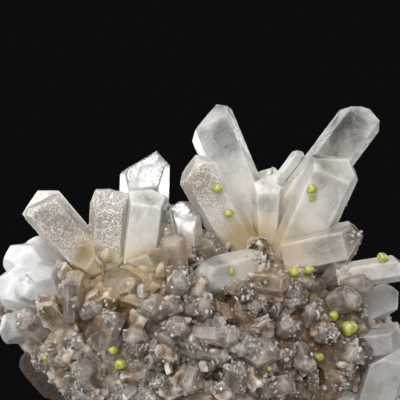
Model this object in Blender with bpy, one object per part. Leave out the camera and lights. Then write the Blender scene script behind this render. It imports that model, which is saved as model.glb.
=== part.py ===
"""Celestite specimen: a lump of limestone whose front, sides and top are covered by a crust of small
celestite crystals. Fans of large blunt-ended celestite crystals stand on it, with grains of sulphur.

Axes: +X to the viewer's right, -Y towards the viewer, +Z up. The origin is on the flat underside.
The sizes below are in millimetres, and MM turns them into metres.
"""

import math
import random
from typing import NamedTuple

import bmesh
import bpy
from mathutils import Matrix, Vector, noise
from mathutils.bvhtree import BVHTree

MM = 0.001
SEED = 19
GAP = 0.3  # kept between neighbouring minerals
CHIP_VERTICES = 80  # a body with more than this is too big to be a chip
TOWARDS_VIEWER = Vector((0, -1, 0))
VIEWER = Vector((0, -500, 60))  # where the specimen is seen from

# The limestone lump
ROCK_CENTRE = Vector((-0.5, 4.0, 17.0))
ROCK_HALF_SIZE = Vector((46.0, 24.0, 27.5))
ROCK_SQUARENESS = 2.5
ROCK_ROUGHNESS = 1.3
# Each break is a point on a broken face and the way that the face looks
ROCK_BREAKS = (
    ((-41.5, 0.0, 15.5), (-0.72, -0.06, -0.69)),
    ((-34.0, 20.0, 20.0), (-0.62, 0.74, -0.25)),
    ((0.0, 24.5, 12.0), (0.06, 0.93, -0.36)),
    ((26.0, 25.0, 22.0), (0.52, 0.84, 0.12)),
    ((-8.0, 25.0, 34.0), (-0.15, 0.83, 0.54)),
    ((42.0, 14.0, 10.0), (0.88, 0.36, -0.30)),
    ((14.0, 20.0, 42.0), (0.20, 0.55, 0.81)),
    ((-26.0, 10.0, 42.0), (-0.42, 0.40, 0.81)),
)

# The crust of small crystals
CRUST_DEPTH = 7.0
CRUST_LUMP_SIZE = 12.0
CRUST_LUMP_HEIGHT = 2.6
CRUST_FLOOR = 1.2  # where the crust and its crystals end above the ground
SCATTERED_CRYSTALS = 178
SCATTERED_WIDTH = (3.2, 6.0)
# The lower left corner, where the crust has broken away from the limestone
CRUST_BREAK = ((-39.2, -12.0, 20.0), (-0.75, -0.12, -0.65))
# Each hollow is a place on the front face (x, z) and its radius
CRUST_HOLLOWS = (
    ((-28.0, 28.0), 4.2),
    ((-20.0, 30.5), 4.4),
    ((5.0, 33.5), 4.8),
    ((-17.0, 17.0), 3.6),
    ((4.5, 16.5), 3.4),
    ((28.0, 15.5), 3.8),
    ((17.0, 31.0), 3.6),
)

SULPHUR_ROUNDNESS = 0.16


class Crown(NamedTuple):
    """The end of a crystal: where its peak is and how far each end face leans from level."""

    peak: float  # from -1 at the left side to 1 at the right
    left: float  # degrees
    right: float
    front: float = 42.0
    back: float = 42.0
    ridge: float = 0.25  # length of the top edge, as a share of the depth


class Crystal(NamedTuple):
    """One crystal, by its foot, the way it points and its size."""

    foot: tuple
    lean: float  # degrees from upright towards +X, as the viewer sees it
    tip_out: float  # degrees towards the viewer
    length: float
    width: float
    depth: float
    crown: Crown
    roll: float = 0.0
    taper: float = 0.0  # degrees by which each side closes in towards the foot
    flat: float = 0.5  # width of the front face as a share of the whole


class Hand(NamedTuple):
    """A small crystal of the crust that is set by hand: its place on the front face and its shape."""

    spot: tuple  # x, z
    lean: float
    tip_out: float
    length: float
    width: float


CHISEL = Crown(0.1, 34, 36)
BLUNT = Crown(-0.1, 18, 24, 50, 50, 0.4)

# Groups of large crystals. Those of one group have grown into each other.
GROUPS = {
    "right_crystal_fan": (
        Crystal((15.0, 2.0, 49.9), -22.3, -12, 36.8, 12.4, 9.5, Crown(0.5, 35, 40, 48, 42, 0.1), flat=0.35),
        Crystal((11.0, -6.0, 46.2), -29.4, 15, 28.0, 10.4, 8.6, Crown(0.32, 30, 44, 30, 42, 0.5), flat=0.6),
        Crystal((16.6, -3.5, 47.5), 1.0, 4, 18.2, 8.8, 8.0, Crown(-0.25, 32, 27, 48, 40, 0.2), taper=4, flat=0.55),
        Crystal((16.6, 4.0, 50.0), 5.0, -4, 18.4, 7.6, 8.0, Crown(0.15, 22, 45, 40, 40), flat=0.4),
        Crystal((22.6, -5.0, 44.5), 23.6, 12, 29.6, 13.1, 10.5, Crown(0.37, 19, 43, 46, 42, 0.15), flat=0.6),
        Crystal((18.0, 2.0, 50.4), 37.2, -14, 42.2, 11.3, 9.0, Crown(-0.13, 35, 32, 34, 42, 0.3), flat=0.55),
        Crystal((13.4, 5.0, 55.8), 37.2, -12, 21.2, 3.8, 5.0, CHISEL),
        Crystal((21.2, -8.0, 46.0), 78.0, 12, 19.5, 11.2, 11.0, Crown(-0.2, 30, 40, 46, 40, 0.3), flat=0.6),
    ),
    "left_crystal_fan": (
        Crystal((-23.0, -7.0, 40.0), -40.0, 10, 26.4, 10.4, 9.5, Crown(-0.57, 33, 16, 26, 40, 0.5), flat=0.6),
        Crystal((-23.6, 1.0, 40.0), -40.0, 2, 28.0, 10.8, 8.0, Crown(0.27, 16, 40, 40, 40, 0.3)),
        Crystal((-23.0, -9.0, 43.5), 4.0, 9, 19.4, 9.8, 9.0, Crown(-0.1, 8, 12, 52, 40, 0.2), flat=0.5),
        Crystal((-14.8, -10.0, 44.5), 7.0, 6, 18.4, 9.8, 8.6, Crown(0.2, 10, 22, 46, 40, 0.2), flat=0.75),
        Crystal((-14.4, -2.0, 46.0), 2.0, 2, 26.4, 12.4, 10.0, Crown(0.44, 33, 47, 40, 40, 0.1), flat=0.45),
        Crystal((-24.0, -4.0, 40.5), -6.0, 60, 14.5, 13.5, 9.0, Crown(-0.15, 26, 34, 38, 30, 0.3), roll=10),
        Crystal((-14.6, -6.0, 41.5), 12.0, 56, 12.0, 10.5, 8.0, Crown(0.2, 30, 26, 40, 34, 0.3), roll=-16),
        Crystal((-31.0, -8.0, 38.5), 96.0, 24, 21.0, 10.0, 9.0, Crown(-0.2, 30, 40), roll=12),
        Crystal((-8.0, -3.5, 45.0), -3.0, 6, 14.4, 5.2, 6.0, CHISEL),
    ),
    "white_crystal_cluster": (
        Crystal((-34.0, -2.0, 34.0), -38.0, 4, 19.6, 12.0, 9.5, Crown(-0.2, 22, 34, 40, 40, 0.3)),
        Crystal((-37.0, -6.0, 35.5), -72.0, 8, 14.2, 11.0, 9.0, Crown(0.1, 28, 38)),
        Crystal((-35.0, -11.0, 33.0), -20.0, 16, 12.8, 8.6, 8.0, BLUNT),
        Crystal((-37.0, -12.0, 35.5), -62.0, 26, 9.6, 6.4, 6.0, CHISEL),
        Crystal((-34.0, -12.0, 31.0), -100.0, 18, 15.4, 7.6, 7.0, BLUNT),
        Crystal((-33.5, 0.0, 42.0), -50.0, -2, 12.4, 7.4, 7.0, BLUNT),
    ),
    "oval_front_crystal": (
        Crystal((15.0, -14.5, 44.0), -103.0, 20, 18.4, 10.6, 9.4, Crown(0.05, 30, 34, 38, 40, 0.2), flat=0.5),
    ),
    "clear_pointed_crystal": (
        Crystal((-1.6, -9.5, 45.0), -9.0, 7, 15.6, 7.0, 6.2, Crown(-0.1, 30, 42, 46, 40, 0.2), roll=-14),
    ),
    "right_spear_crystal": (
        Crystal((30.5, -13.5, 40.8), 81.0, 8, 20.6, 6.6, 6.6, Crown(0.35, 40, 34, 40, 40, 0.3), flat=0.55),
    ),
    "lower_right_crystals": (
        Crystal((38.4, -12.0, -2.8), 16.0, 6, 29.2, 11.2, 10.0, Crown(0.4, 42, 30, 44, 40, 0.3), flat=0.7),
        Crystal((37.2, -15.0, -2.6), -8.0, 8, 17.6, 7.2, 7.0, CHISEL),
        Crystal((45.6, -12.2, -2.6), 6.0, 12, 16.0, 7.0, 7.0, BLUNT),
    ),
    "right_edge_crystals": (
        Crystal((37.0, -7.0, 30.5), 56.0, 8, 14.0, 8.6, 8.0, CHISEL),
        Crystal((36.5, -11.0, 24.0), 82.0, 14, 14.0, 9.6, 8.0, BLUNT),
    ),
    "rear_crystal_fan": (
        Crystal((-2.0, 5.0, 33.0), -12.0, -34, 27.0, 9.0, 8.0, CHISEL, roll=20),
        Crystal((-4.5, 5.0, 32.5), -42.0, -34, 27.0, 8.0, 7.0, Crown(0.2, 26, 40), roll=-10),
        Crystal((1.0, 6.0, 32.5), 30.0, -46, 26.0, 7.6, 7.0, Crown(-0.2, 34, 30), roll=35),
        Crystal((-2.5, 6.0, 31.0), -6.0, -66, 24.0, 7.4, 7.0, BLUNT, roll=15),
    ),
    "rear_side_crystals": (
        Crystal((24.0, 6.0, 29.0), 34.0, -42, 22.0, 7.8, 7.4, CHISEL, roll=-18),
        Crystal((25.5, 6.0, 28.0), 62.0, -34, 21.0, 7.0, 6.6, BLUNT, roll=8),
        Crystal((26.5, 5.0, 26.5), 82.0, -16, 21.0, 7.4, 7.0, CHISEL, roll=30),
    ),
    "rear_left_crystals": (
        Crystal((-24.5, 4.0, 29.0), -42.0, -36, 20.0, 7.6, 7.2, CHISEL, roll=25),
        Crystal((-22.0, 5.0, 28.0), -16.0, -56, 20.0, 7.0, 6.8, BLUNT, roll=-12),
    ),
}

# The groups whose crystals are milky white
WHITE_GROUPS = ("white_crystal_cluster", "lower_right_crystals", "right_edge_crystals")

# The small crystals that stand out of the crust in front
HAND_SET = (
    Hand((-32.5, 32.0), 2, 18, 10.0, 4.4),
    Hand((-25.5, 33.5), 62, 30, 7.5, 4.4),
    Hand((-23.5, 24.5), 18, 22, 10.0, 6.4),
    Hand((-29.5, 14.0), 12, 34, 9.0, 6.6),
    Hand((-14.0, 37.2), 60, 34, 5.6, 3.4),
    Hand((-6.0, 37.5), 30, 52, 8.0, 6.2),
    Hand((-10.5, 32.0), -20, 56, 7.0, 5.4),
    Hand((-2.0, 32.6), 74, 46, 7.0, 4.4),
    Hand((-5.0, 27.4), -40, 62, 6.5, 5.6),
    Hand((0.5, 26.4), 96, 24, 11.0, 5.6),
    Hand((1.5, 20.8), 84, 30, 8.0, 4.4),
    Hand((-1.5, 17.6), 200, 26, 8.0, 4.8),
    Hand((-8.0, 18.4), -30, 48, 4.4, 3.0),
    Hand((-15.5, 24.0), -24, 44, 7.0, 5.4),
    Hand((-12.5, 15.5), -60, 40, 6.0, 4.6),
    Hand((-20.5, 12.0), 150, 36, 7.5, 5.2),
    Hand((11.5, 22.6), 112, 30, 11.0, 7.6),
    Hand((9.0, 15.0), 12, 34, 8.0, 6.4),
    Hand((17.5, 13.0), 74, 30, 8.0, 5.6),
    Hand((15.0, 39.0), 96, 26, 10.0, 6.2),
    Hand((24.0, 37.5), 188, 34, 7.0, 4.8),
    Hand((27.5, 29.6), 10, 38, 6.0, 4.0),
    Hand((25.0, 22.0), 160, 36, 8.0, 5.8),
    Hand((35.0, 34.5), 64, 42, 8.0, 6.6),
    Hand((21.0, 27.5), 40, 56, 6.0, 4.8),
    Hand((36.0, 22.5), 120, 40, 7.0, 5.4),
    Hand((-41.0, 27.5), -40, 34, 8.0, 6.4),
)

# Each grain of sulphur: its place as the viewer sees it (x, z) and its width
SULPHUR_GRAINS = (
    ((4.3, 63.2), 2.0),
    ((7.0, 57.0), 1.8),
    ((27.9, 63.0), 2.2),
    ((28.1, 60.5), 1.3),
    ((45.7, 44.4), 2.1),
    ((22.5, 41.4), 2.4),
    ((27.0, 42.4), 1.9),
    ((32.8, 30.5), 2.0),
    ((36.6, 27.6), 2.8),
    ((-22.8, 23.1), 2.2),
    ((-19.5, 18.4), 2.6),
    ((29.3, 20.8), 1.9),
    ((-38.2, 20.5), 1.2),
    ((17.0, 18.3), 1.1),
    ((7.6, 42.1), 1.3),
)


def clear_scene():
    for obj in list(bpy.data.objects):
        bpy.data.objects.remove(obj, do_unlink=True)


def make_material(name, colour, roughness, transmission=0.0):
    material = bpy.data.materials.new(name)
    material.use_nodes = True
    shader = material.node_tree.nodes["Principled BSDF"]
    shader.inputs["Base Color"].default_value = (*colour, 1.0)
    shader.inputs["Roughness"].default_value = roughness
    shader.inputs["Metallic"].default_value = 0.0
    shader.inputs["Transmission Weight"].default_value = transmission
    return material


def make_object(name, bm, material=None):
    """Puts the shape, which is in millimetres, into the scene as an object in metres."""
    bmesh.ops.scale(bm, vec=Vector((MM, MM, MM)), verts=bm.verts)
    bmesh.ops.recalc_face_normals(bm, faces=bm.faces)
    mesh = bpy.data.meshes.new(name)
    bm.to_mesh(mesh)
    bm.free()
    if material:
        mesh.materials.append(material)
    obj = bpy.data.objects.new(name, mesh)
    bpy.context.scene.collection.objects.link(obj)
    return obj


def combine(target, operation, others):
    """Joins the others to the target, or cuts them out of it, and removes them."""
    helpers = bpy.data.collections.new("helpers")
    bpy.context.scene.collection.children.link(helpers)
    for other in others:
        bpy.context.scene.collection.objects.unlink(other)
        helpers.objects.link(other)
    modifier = target.modifiers.new("combine", "BOOLEAN")
    modifier.operation = operation
    modifier.solver = "EXACT"
    modifier.operand_type = "COLLECTION"
    modifier.collection = helpers
    graph = bpy.context.evaluated_depsgraph_get()
    combined = bpy.data.meshes.new_from_object(target.evaluated_get(graph))
    target.modifiers.remove(modifier)
    target.data = combined
    for other in others:
        bpy.data.objects.remove(other, do_unlink=True)
    bpy.data.collections.remove(helpers)


def islands_of(bm):
    """The separate bodies of a mesh, each as a set of vertices."""
    left = set(bm.verts)
    found = []
    while left:
        body = set()
        reached = [left.pop()]
        while reached:
            vert = reached.pop()
            body.add(vert)
            for edge in vert.link_edges:
                other = edge.other_vert(vert)
                if other in left:
                    left.discard(other)
                    reached.append(other)
        found.append(body)
    return found


def keep_largest_body(obj):
    """Removes the chips that a cut leaves beside the main body."""
    bm = bmesh.new()
    bm.from_mesh(obj.data)
    bodies = sorted(islands_of(bm), key=len)
    for body in bodies[:-1]:
        if len(body) > CHIP_VERTICES:
            raise ValueError(f"{obj.name} has come apart")
        bmesh.ops.delete(bm, geom=list(body), context="VERTS")
    bm.to_mesh(obj.data)
    bm.free()


def surface_of(objects):
    """A surface that rays can hit, in millimetres, made of all these objects."""
    verts = []
    faces = []
    for obj in objects:
        first = len(verts)
        verts += [v.co / MM for v in obj.data.vertices]
        faces += [[first + i for i in p.vertices] for p in obj.data.polygons]
    return BVHTree.FromPolygons(verts, faces)


def cut_flat(bm, point, outward):
    """Takes off what lies beyond a plane and closes the cut with a flat face."""
    bmesh.ops.bisect_plane(
        bm,
        geom=bm.verts[:] + bm.edges[:] + bm.faces[:],
        dist=1e-5,
        plane_co=point,
        plane_no=outward,
        clear_outer=True,
    )
    open_edges = [e for e in bm.edges if e.is_boundary]
    if open_edges:
        bmesh.ops.edgeloop_fill(bm, edges=open_edges)


def pointing(lean, tip_out):
    """The way that a crystal with this lean points."""
    a, b = math.radians(lean), math.radians(tip_out)
    return Vector((math.sin(a) * math.cos(b), -math.sin(b), math.cos(a) * math.cos(b)))


def tilted(axis, sideways, degrees):
    """The outward direction of an end face that leans this far from level towards one side."""
    angle = math.radians(degrees)
    return math.cos(angle) * axis + math.sin(angle) * sideways


def side_axes(axis, roll):
    """The crystal's right and front, at right angles to its length."""
    right = TOWARDS_VIEWER.cross(axis) * -1
    if right.length < 1e-3:
        right = Vector((1, 0, 0))
    right = (Matrix.Rotation(math.radians(roll), 3, axis) @ right).normalized()
    return right, right.cross(axis)


def crystal_faces(foot, axis, size, crown, roll, taper, flat):
    """Every face of a crystal, as a point on it and its outward direction."""
    length, half_width, half_depth = size[0], size[1] / 2, size[2] / 2
    right, front = side_axes(axis, roll)
    top = foot + axis * length
    inward = math.sin(math.radians(taper))
    bevel_run = (1 - flat) * half_width
    faces = [(foot, -axis)]
    for way in (1, -1):
        faces.append((top + way * front * half_depth, way * front - inward * axis))
        for side in (1, -1):
            outward = Vector((side * half_depth, way * bevel_run))
            outward.normalize()
            direction = right * outward.x + front * outward.y
            faces.append((top + side * right * half_width, direction - inward * axis))
    peak = top + right * crown.peak * half_width
    ridge = front * crown.ridge * half_depth
    faces.append((peak, tilted(axis, -right, crown.left)))
    faces.append((peak, tilted(axis, right, crown.right)))
    faces.append((peak + ridge, tilted(axis, front, crown.front)))
    faces.append((peak - ridge, tilted(axis, -front, crown.back)))
    return faces


def cut_crystal(faces, reach, grow=0.0):
    """Cuts a block along each face of a crystal. Grow moves every face outwards."""
    centre = sum((point for point, _ in faces), Vector()) / len(faces)
    bm = bmesh.new()
    bmesh.ops.create_cube(bm, size=4 * reach, matrix=Matrix.Translation(centre))
    for point, outward in faces:
        direction = outward.normalized()
        cut_flat(bm, point + direction * grow, direction)
    return bm


def large_crystal(name, spec, grow=0.0):
    axis = pointing(spec.lean, spec.tip_out)
    size = (spec.length, spec.width, spec.depth)
    faces = crystal_faces(Vector(spec.foot), axis, size, spec.crown, spec.roll, spec.taper, spec.flat)
    return make_object(name, cut_crystal(faces, spec.length, grow))


def crystal_group(name, specs, material):
    """The crystals of one group, grown into one solid."""
    group, *others = [large_crystal(name if i == 0 else f"{name}_{i}", s) for i, s in enumerate(specs)]
    if others:
        combine(group, "UNION", others)
    group.data.materials.clear()
    group.data.materials.append(material)
    return group


def sockets_for(names):
    """The large crystals of these groups, each grown by the gap, ready to be cut out of a neighbour."""
    return [
        large_crystal(f"socket_{name}_{i}", spec, GAP)
        for name in names
        for i, spec in enumerate(GROUPS[name])
    ]


def rock_radius(direction):
    """How far the limestone reaches from its centre, before it is broken."""
    share = sum(
        abs(d / half) ** ROCK_SQUARENESS for d, half in zip(direction, ROCK_HALF_SIZE)
    )
    return share ** (-1 / ROCK_SQUARENESS)


def crust_thickness(direction):
    """The crust is thickest in front and on top, and gives out towards the back and the underside."""
    cover = 0.42 - 0.85 * direction.y + 0.55 * direction.z
    return CRUST_DEPTH * max(-0.6, min(1.0, cover))


def seen_at(spot, surface):
    """Where the viewer's line of sight through a spot (x, z) of the picture meets the surface."""
    ahead = Vector((spot[0], 0, spot[1])) - VIEWER
    point, normal, _, _ = surface.ray_cast(VIEWER, ahead.normalized())
    return point, normal


def rough_ball(name, centre, radius):
    bm = bmesh.new()
    bmesh.ops.create_icosphere(bm, subdivisions=1, radius=radius, matrix=Matrix.Translation(centre))
    for vert in bm.verts:
        vert.co += (vert.co - centre) * 0.35 * noise.noise(vert.co)
    return make_object(name, bm)


def round_block(subdivisions, radius_at):
    """A closed body whose surface lies radius_at(direction) from the rock's centre."""
    bm = bmesh.new()
    bmesh.ops.create_icosphere(bm, subdivisions=subdivisions, radius=1.0)
    for vert in bm.verts:
        direction = vert.co.normalized()
        vert.co = ROCK_CENTRE + direction * radius_at(direction)
    return bm


def limestone_shape(grow=0.0):
    """The broken lump of limestone, with a flat underside."""

    def radius_at(direction):
        rough = noise.fractal(direction * 3.1, 0.8, 2.2, 4)
        return rock_radius(direction) + ROCK_ROUGHNESS * rough + grow

    bm = round_block(3, radius_at)
    for point, outward in ROCK_BREAKS:
        direction = Vector(outward).normalized()
        cut_flat(bm, Vector(point) + direction * grow, direction)
    bmesh.ops.triangulate(bm, faces=[f for f in bm.faces if len(f.verts) > 4])
    return bm


def make_limestone(material):
    bm = limestone_shape()
    cut_flat(bm, Vector((0, 0, 0)), Vector((0, 0, -1)))
    return make_object("limestone_matrix", bm, material)


def crust_base():
    """The lumpy body of the crust, before its crystals and before the limestone is taken out of it."""

    def radius_at(direction):
        around = rock_radius(direction)
        point = ROCK_CENTRE + direction * around
        lumps = CRUST_LUMP_HEIGHT * noise.noise(point / CRUST_LUMP_SIZE)
        return around + crust_thickness(direction) + lumps

    crust = make_object("crystal_crust", round_block(3, radius_at))
    surface = surface_of([crust])
    hollows = [
        rough_ball(f"hollow_{i}", seen_at(spot, surface)[0], radius)
        for i, (spot, radius) in enumerate(CRUST_HOLLOWS)
    ]
    combine(crust, "DIFFERENCE", hollows)
    return crust


def small_crystal(name, foot, axis, length, width, rng):
    """A stubby crystal of the crust with four sides and a chisel end."""
    right, front = side_axes(axis, rng.uniform(0, 180))
    half_width, half_depth = width / 2, width * rng.uniform(0.36, 0.5)
    top = foot + axis * length
    faces = [(foot, -axis)]
    for way in (1, -1):
        skew = rng.uniform(-0.25, 0.25)
        faces.append((top + way * right * half_width, way * right + skew * front))
        faces.append((top + way * front * half_depth, way * front - skew * right))
    faces.append((top, tilted(axis, right, rng.uniform(24, 48))))
    faces.append((top, tilted(axis, -right, rng.uniform(24, 48))))
    faces.append((top, tilted(axis, way * front, rng.uniform(8, 24))))
    return make_object(name, cut_crystal(faces, length))


def hand_set_crystals(surface, rng):
    """The crystals that the viewer can make out in the crust, set where they stand."""
    made = []
    for i, hand in enumerate(HAND_SET):
        point, _ = seen_at(hand.spot, surface)
        axis = pointing(hand.lean, hand.tip_out)
        foot = point - axis * hand.width * 0.3 - TOWARDS_VIEWER * hand.width * 0.15
        made.append(small_crystal(f"hand_set_{i}", foot, axis, hand.length, hand.width, rng))
    return made


def scattered_crystals(surface, rng):
    """Small crystals over the rest of the crust, spaced evenly round it and turned at random."""
    made = []
    turn = math.pi * (3 - math.sqrt(5))
    for i in range(SCATTERED_CRYSTALS):
        height = 0.98 - 1.7 * i / SCATTERED_CRYSTALS
        around = math.sqrt(1 - height * height)
        direction = Vector((around * math.cos(turn * i), around * math.sin(turn * i), height))
        point, normal, _, _ = surface.ray_cast(ROCK_CENTRE, direction)
        width = rng.uniform(*SCATTERED_WIDTH)
        swing = Vector((rng.uniform(-1, 1), rng.uniform(-1, 1), rng.uniform(-1, 1)))
        if crust_thickness(direction) < 1.5:
            continue
        axis = (normal + 0.6 * swing).normalized()
        foot = point - axis * width * 0.5
        length = width * rng.uniform(1.0, 1.6)
        made.append(small_crystal(f"scattered_{i}", foot, axis, length, width, rng))
    return made


def block_beyond(name, point, outward):
    """A block that fills everything near the part beyond a plane."""
    direction = outward.normalized()
    turn = Vector((0, 0, 1)).rotation_difference(direction).to_matrix().to_4x4()
    bm = bmesh.new()
    place = Matrix.Translation(point + direction * 100) @ turn
    bmesh.ops.create_cube(bm, size=200, matrix=place)
    return make_object(name, bm)


def block_below():
    return block_beyond("below", Vector((0, 0, CRUST_FLOOR)), Vector((0, 0, -1)))


def make_crust(material):
    """The crust: a lumpy layer with small crystals fused to it, hollowed to sit over the limestone."""
    rng = random.Random(SEED)
    crust = crust_base()
    surface = surface_of([crust])
    combine(crust, "UNION", hand_set_crystals(surface, rng) + scattered_crystals(surface, rng))
    inner = make_object("inner", limestone_shape(GAP))
    corner = block_beyond("corner", Vector(CRUST_BREAK[0]), Vector(CRUST_BREAK[1]))
    combine(crust, "DIFFERENCE", [inner, block_below(), corner] + sockets_for(GROUPS))
    keep_largest_body(crust)
    crust.data.materials.clear()
    crust.data.materials.append(material)
    return crust


def sulphur_grain(name, spot, width, surface, material):
    """A rounded grain of sulphur on whatever crystal the viewer sees at this spot."""
    point, normal = seen_at(spot, surface)
    bm = bmesh.new()
    bmesh.ops.create_icosphere(bm, subdivisions=1, radius=width / 2)
    for vert in bm.verts:
        vert.co *= 0.94 + SULPHUR_ROUNDNESS * noise.noise(vert.co * 3 + point)
    cut_flat(bm, -0.42 * width * normal, -normal)
    bmesh.ops.translate(bm, vec=point + normal * (0.42 * width + GAP), verts=bm.verts)
    way_out = (normal + TOWARDS_VIEWER).normalized()
    while min(surface.find_nearest(vert.co)[3] for vert in bm.verts) < GAP * 0.9:
        bmesh.ops.translate(bm, vec=way_out * 0.1, verts=bm.verts)
    return make_object(name, bm, material)


def build():
    clear_scene()
    limestone = make_material("limestone", (0.30, 0.27, 0.24), 0.9)
    clear = make_material("clear_celestite", (0.86, 0.85, 0.82), 0.12, 0.6)
    white = make_material("white_celestite", (0.93, 0.93, 0.92), 0.2, 0.2)
    druse = make_material("celestite_druse", (0.55, 0.49, 0.43), 0.3, 0.2)
    sulphur = make_material("sulphur", (0.72, 0.70, 0.12), 0.35)

    rock = make_limestone(limestone)
    combine(rock, "DIFFERENCE", sockets_for(GROUPS))
    crust = make_crust(druse)
    groups = []
    for i, (name, specs) in enumerate(GROUPS.items()):
        group = crystal_group(name, specs, white if name in WHITE_GROUPS else clear)
        combine(group, "DIFFERENCE", [block_below()] + sockets_for(list(GROUPS)[:i]))
        keep_largest_body(group)
        groups.append(group)
    surface = surface_of([crust] + groups)
    for i, (spot, width) in enumerate(SULPHUR_GRAINS):
        sulphur_grain(f"sulphur_grain_{i + 1:02d}", spot, width, surface, sulphur)


build()
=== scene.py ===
"""Looks of the celestite specimen: the two fans of large crystals, the druse, the limestone and the
sulphur, with a floor, soft lights and a camera.

Shapes are given in millimetres in the frame of the solids: +X right, -Y towards the viewer, +Z up,
with the flat underside of the limestone at Z = 0.
"""

import logging
import math
import random
from dataclasses import dataclass
from enum import Enum
from typing import Any, Callable

import bmesh
import bpy
from mathutils import Matrix, Vector, noise
from mathutils.bvhtree import BVHTree


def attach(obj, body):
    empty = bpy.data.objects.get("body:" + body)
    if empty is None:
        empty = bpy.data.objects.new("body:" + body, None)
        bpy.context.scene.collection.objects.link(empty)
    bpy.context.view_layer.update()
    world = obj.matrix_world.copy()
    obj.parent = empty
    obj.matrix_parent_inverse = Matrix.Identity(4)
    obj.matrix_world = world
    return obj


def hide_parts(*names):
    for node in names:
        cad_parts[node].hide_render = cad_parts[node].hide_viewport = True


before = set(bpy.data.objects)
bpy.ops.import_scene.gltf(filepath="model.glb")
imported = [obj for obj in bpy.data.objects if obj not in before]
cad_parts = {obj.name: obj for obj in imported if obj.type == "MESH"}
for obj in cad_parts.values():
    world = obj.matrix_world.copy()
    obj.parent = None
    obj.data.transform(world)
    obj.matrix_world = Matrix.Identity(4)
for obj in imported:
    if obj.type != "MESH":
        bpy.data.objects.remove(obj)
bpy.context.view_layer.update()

LOG = logging.getLogger("celestite")
MM = 0.001
PER_METRE = 1000.0
MERGED_WITHIN = 0.001
MOST_DIVISIONS = 9
FEW_LONG_EDGES = 40
CRUST_FLOOR = 1.2
FOREMOST = -33.0
HIDDEN_BEYOND = 12.0
PATCH_REACH = 2.4
EDGE_WIDTH = 0.55
SEAM_WIDTH = 0.45
ROCK_CENTRE = Vector((-0.5, 4.0, 17.0))
VIEWER = Vector((0.0, -500.0, 60.0))
CELESTITE_IOR = 1.62
CRYSTAL_VALUES = ("milk", "dust", "warm", "grey", "rim", "along", "across")
DRUSE_VALUES = ("milk", "shade", "depth", "warm", "rim")


class Tint(Enum):
    """Linear colours of the minerals, and of the painted highlight and painted shade laid on them."""

    # Also the colour of the painted highlight on crystal edges and of the painted sparkles on the druse.
    ICE = (0.86, 0.86, 0.86)
    MILK = (0.80, 0.78, 0.73)
    HONEY = (0.56, 0.405, 0.19)
    DUST = (0.30, 0.22, 0.15)
    # Smoky grey: partly a tint of the crystals, partly painted shade.
    SMOKE = (0.38, 0.365, 0.34)
    TAUPE = (0.40, 0.285, 0.18)
    PALE_TAUPE = (0.78, 0.68, 0.60)
    # The colour of the painted highlight on the druse's edges and crests.
    LILAC = (0.86, 0.81, 0.79)
    # The brown that painted shade gives the druse's hollows.
    UMBER = (0.19, 0.115, 0.06)
    SLATE = (0.035, 0.032, 0.032)
    ASH = (0.115, 0.102, 0.09)
    RUST = (0.13, 0.065, 0.03)
    CHALK = (0.62, 0.60, 0.57)
    LEMON = (0.62, 0.62, 0.13)
    OLIVE = (0.36, 0.36, 0.05)


class Wire:
    """The output of a shader node, so that sums on values can be written as Python."""

    def __init__(self, recipe: "Recipe", socket: bpy.types.NodeSocket) -> None:
        """Keeps the socket and the recipe that it belongs to."""
        self.recipe = recipe
        self.socket = socket

    def _sum(self, operation: str, *values: Any) -> "Wire":
        """Adds a Math node.

        Args:
            operation: The Math node's operation.
            values: Its inputs, in order.

        Returns:
            The node's output.
        """
        inputs = dict(enumerate(values))
        return self.recipe.node("ShaderNodeMath", {"operation": operation}, inputs)[0]

    def __add__(self, other: Any) -> "Wire":
        """Self plus other."""
        return self._sum("ADD", self, other)

    def __radd__(self, other: Any) -> "Wire":
        """Other plus self."""
        return self._sum("ADD", other, self)

    def __sub__(self, other: Any) -> "Wire":
        """Self less other."""
        return self._sum("SUBTRACT", self, other)

    def __rsub__(self, other: Any) -> "Wire":
        """Other less self."""
        return self._sum("SUBTRACT", other, self)

    def __mul__(self, other: Any) -> "Wire":
        """Self times other."""
        return self._sum("MULTIPLY", self, other)

    def within(self, low: float, high: float) -> "Wire":
        """Runs from 0 at low to 1 at high, smoothly.

        Args:
            low: The value that gives 0.
            high: The value that gives 1.

        Returns:
            The eased share.
        """
        settings = {"interpolation_type": "SMOOTHSTEP"}
        inputs = {"Value": self, "From Min": low, "From Max": high}
        return self.recipe.node("ShaderNodeMapRange", settings, inputs)[0]

    def clamped(self) -> "Wire":
        """Self, kept between 0 and 1."""
        return self.recipe.node("ShaderNodeClamp", {}, {"Value": self})[0]


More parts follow.
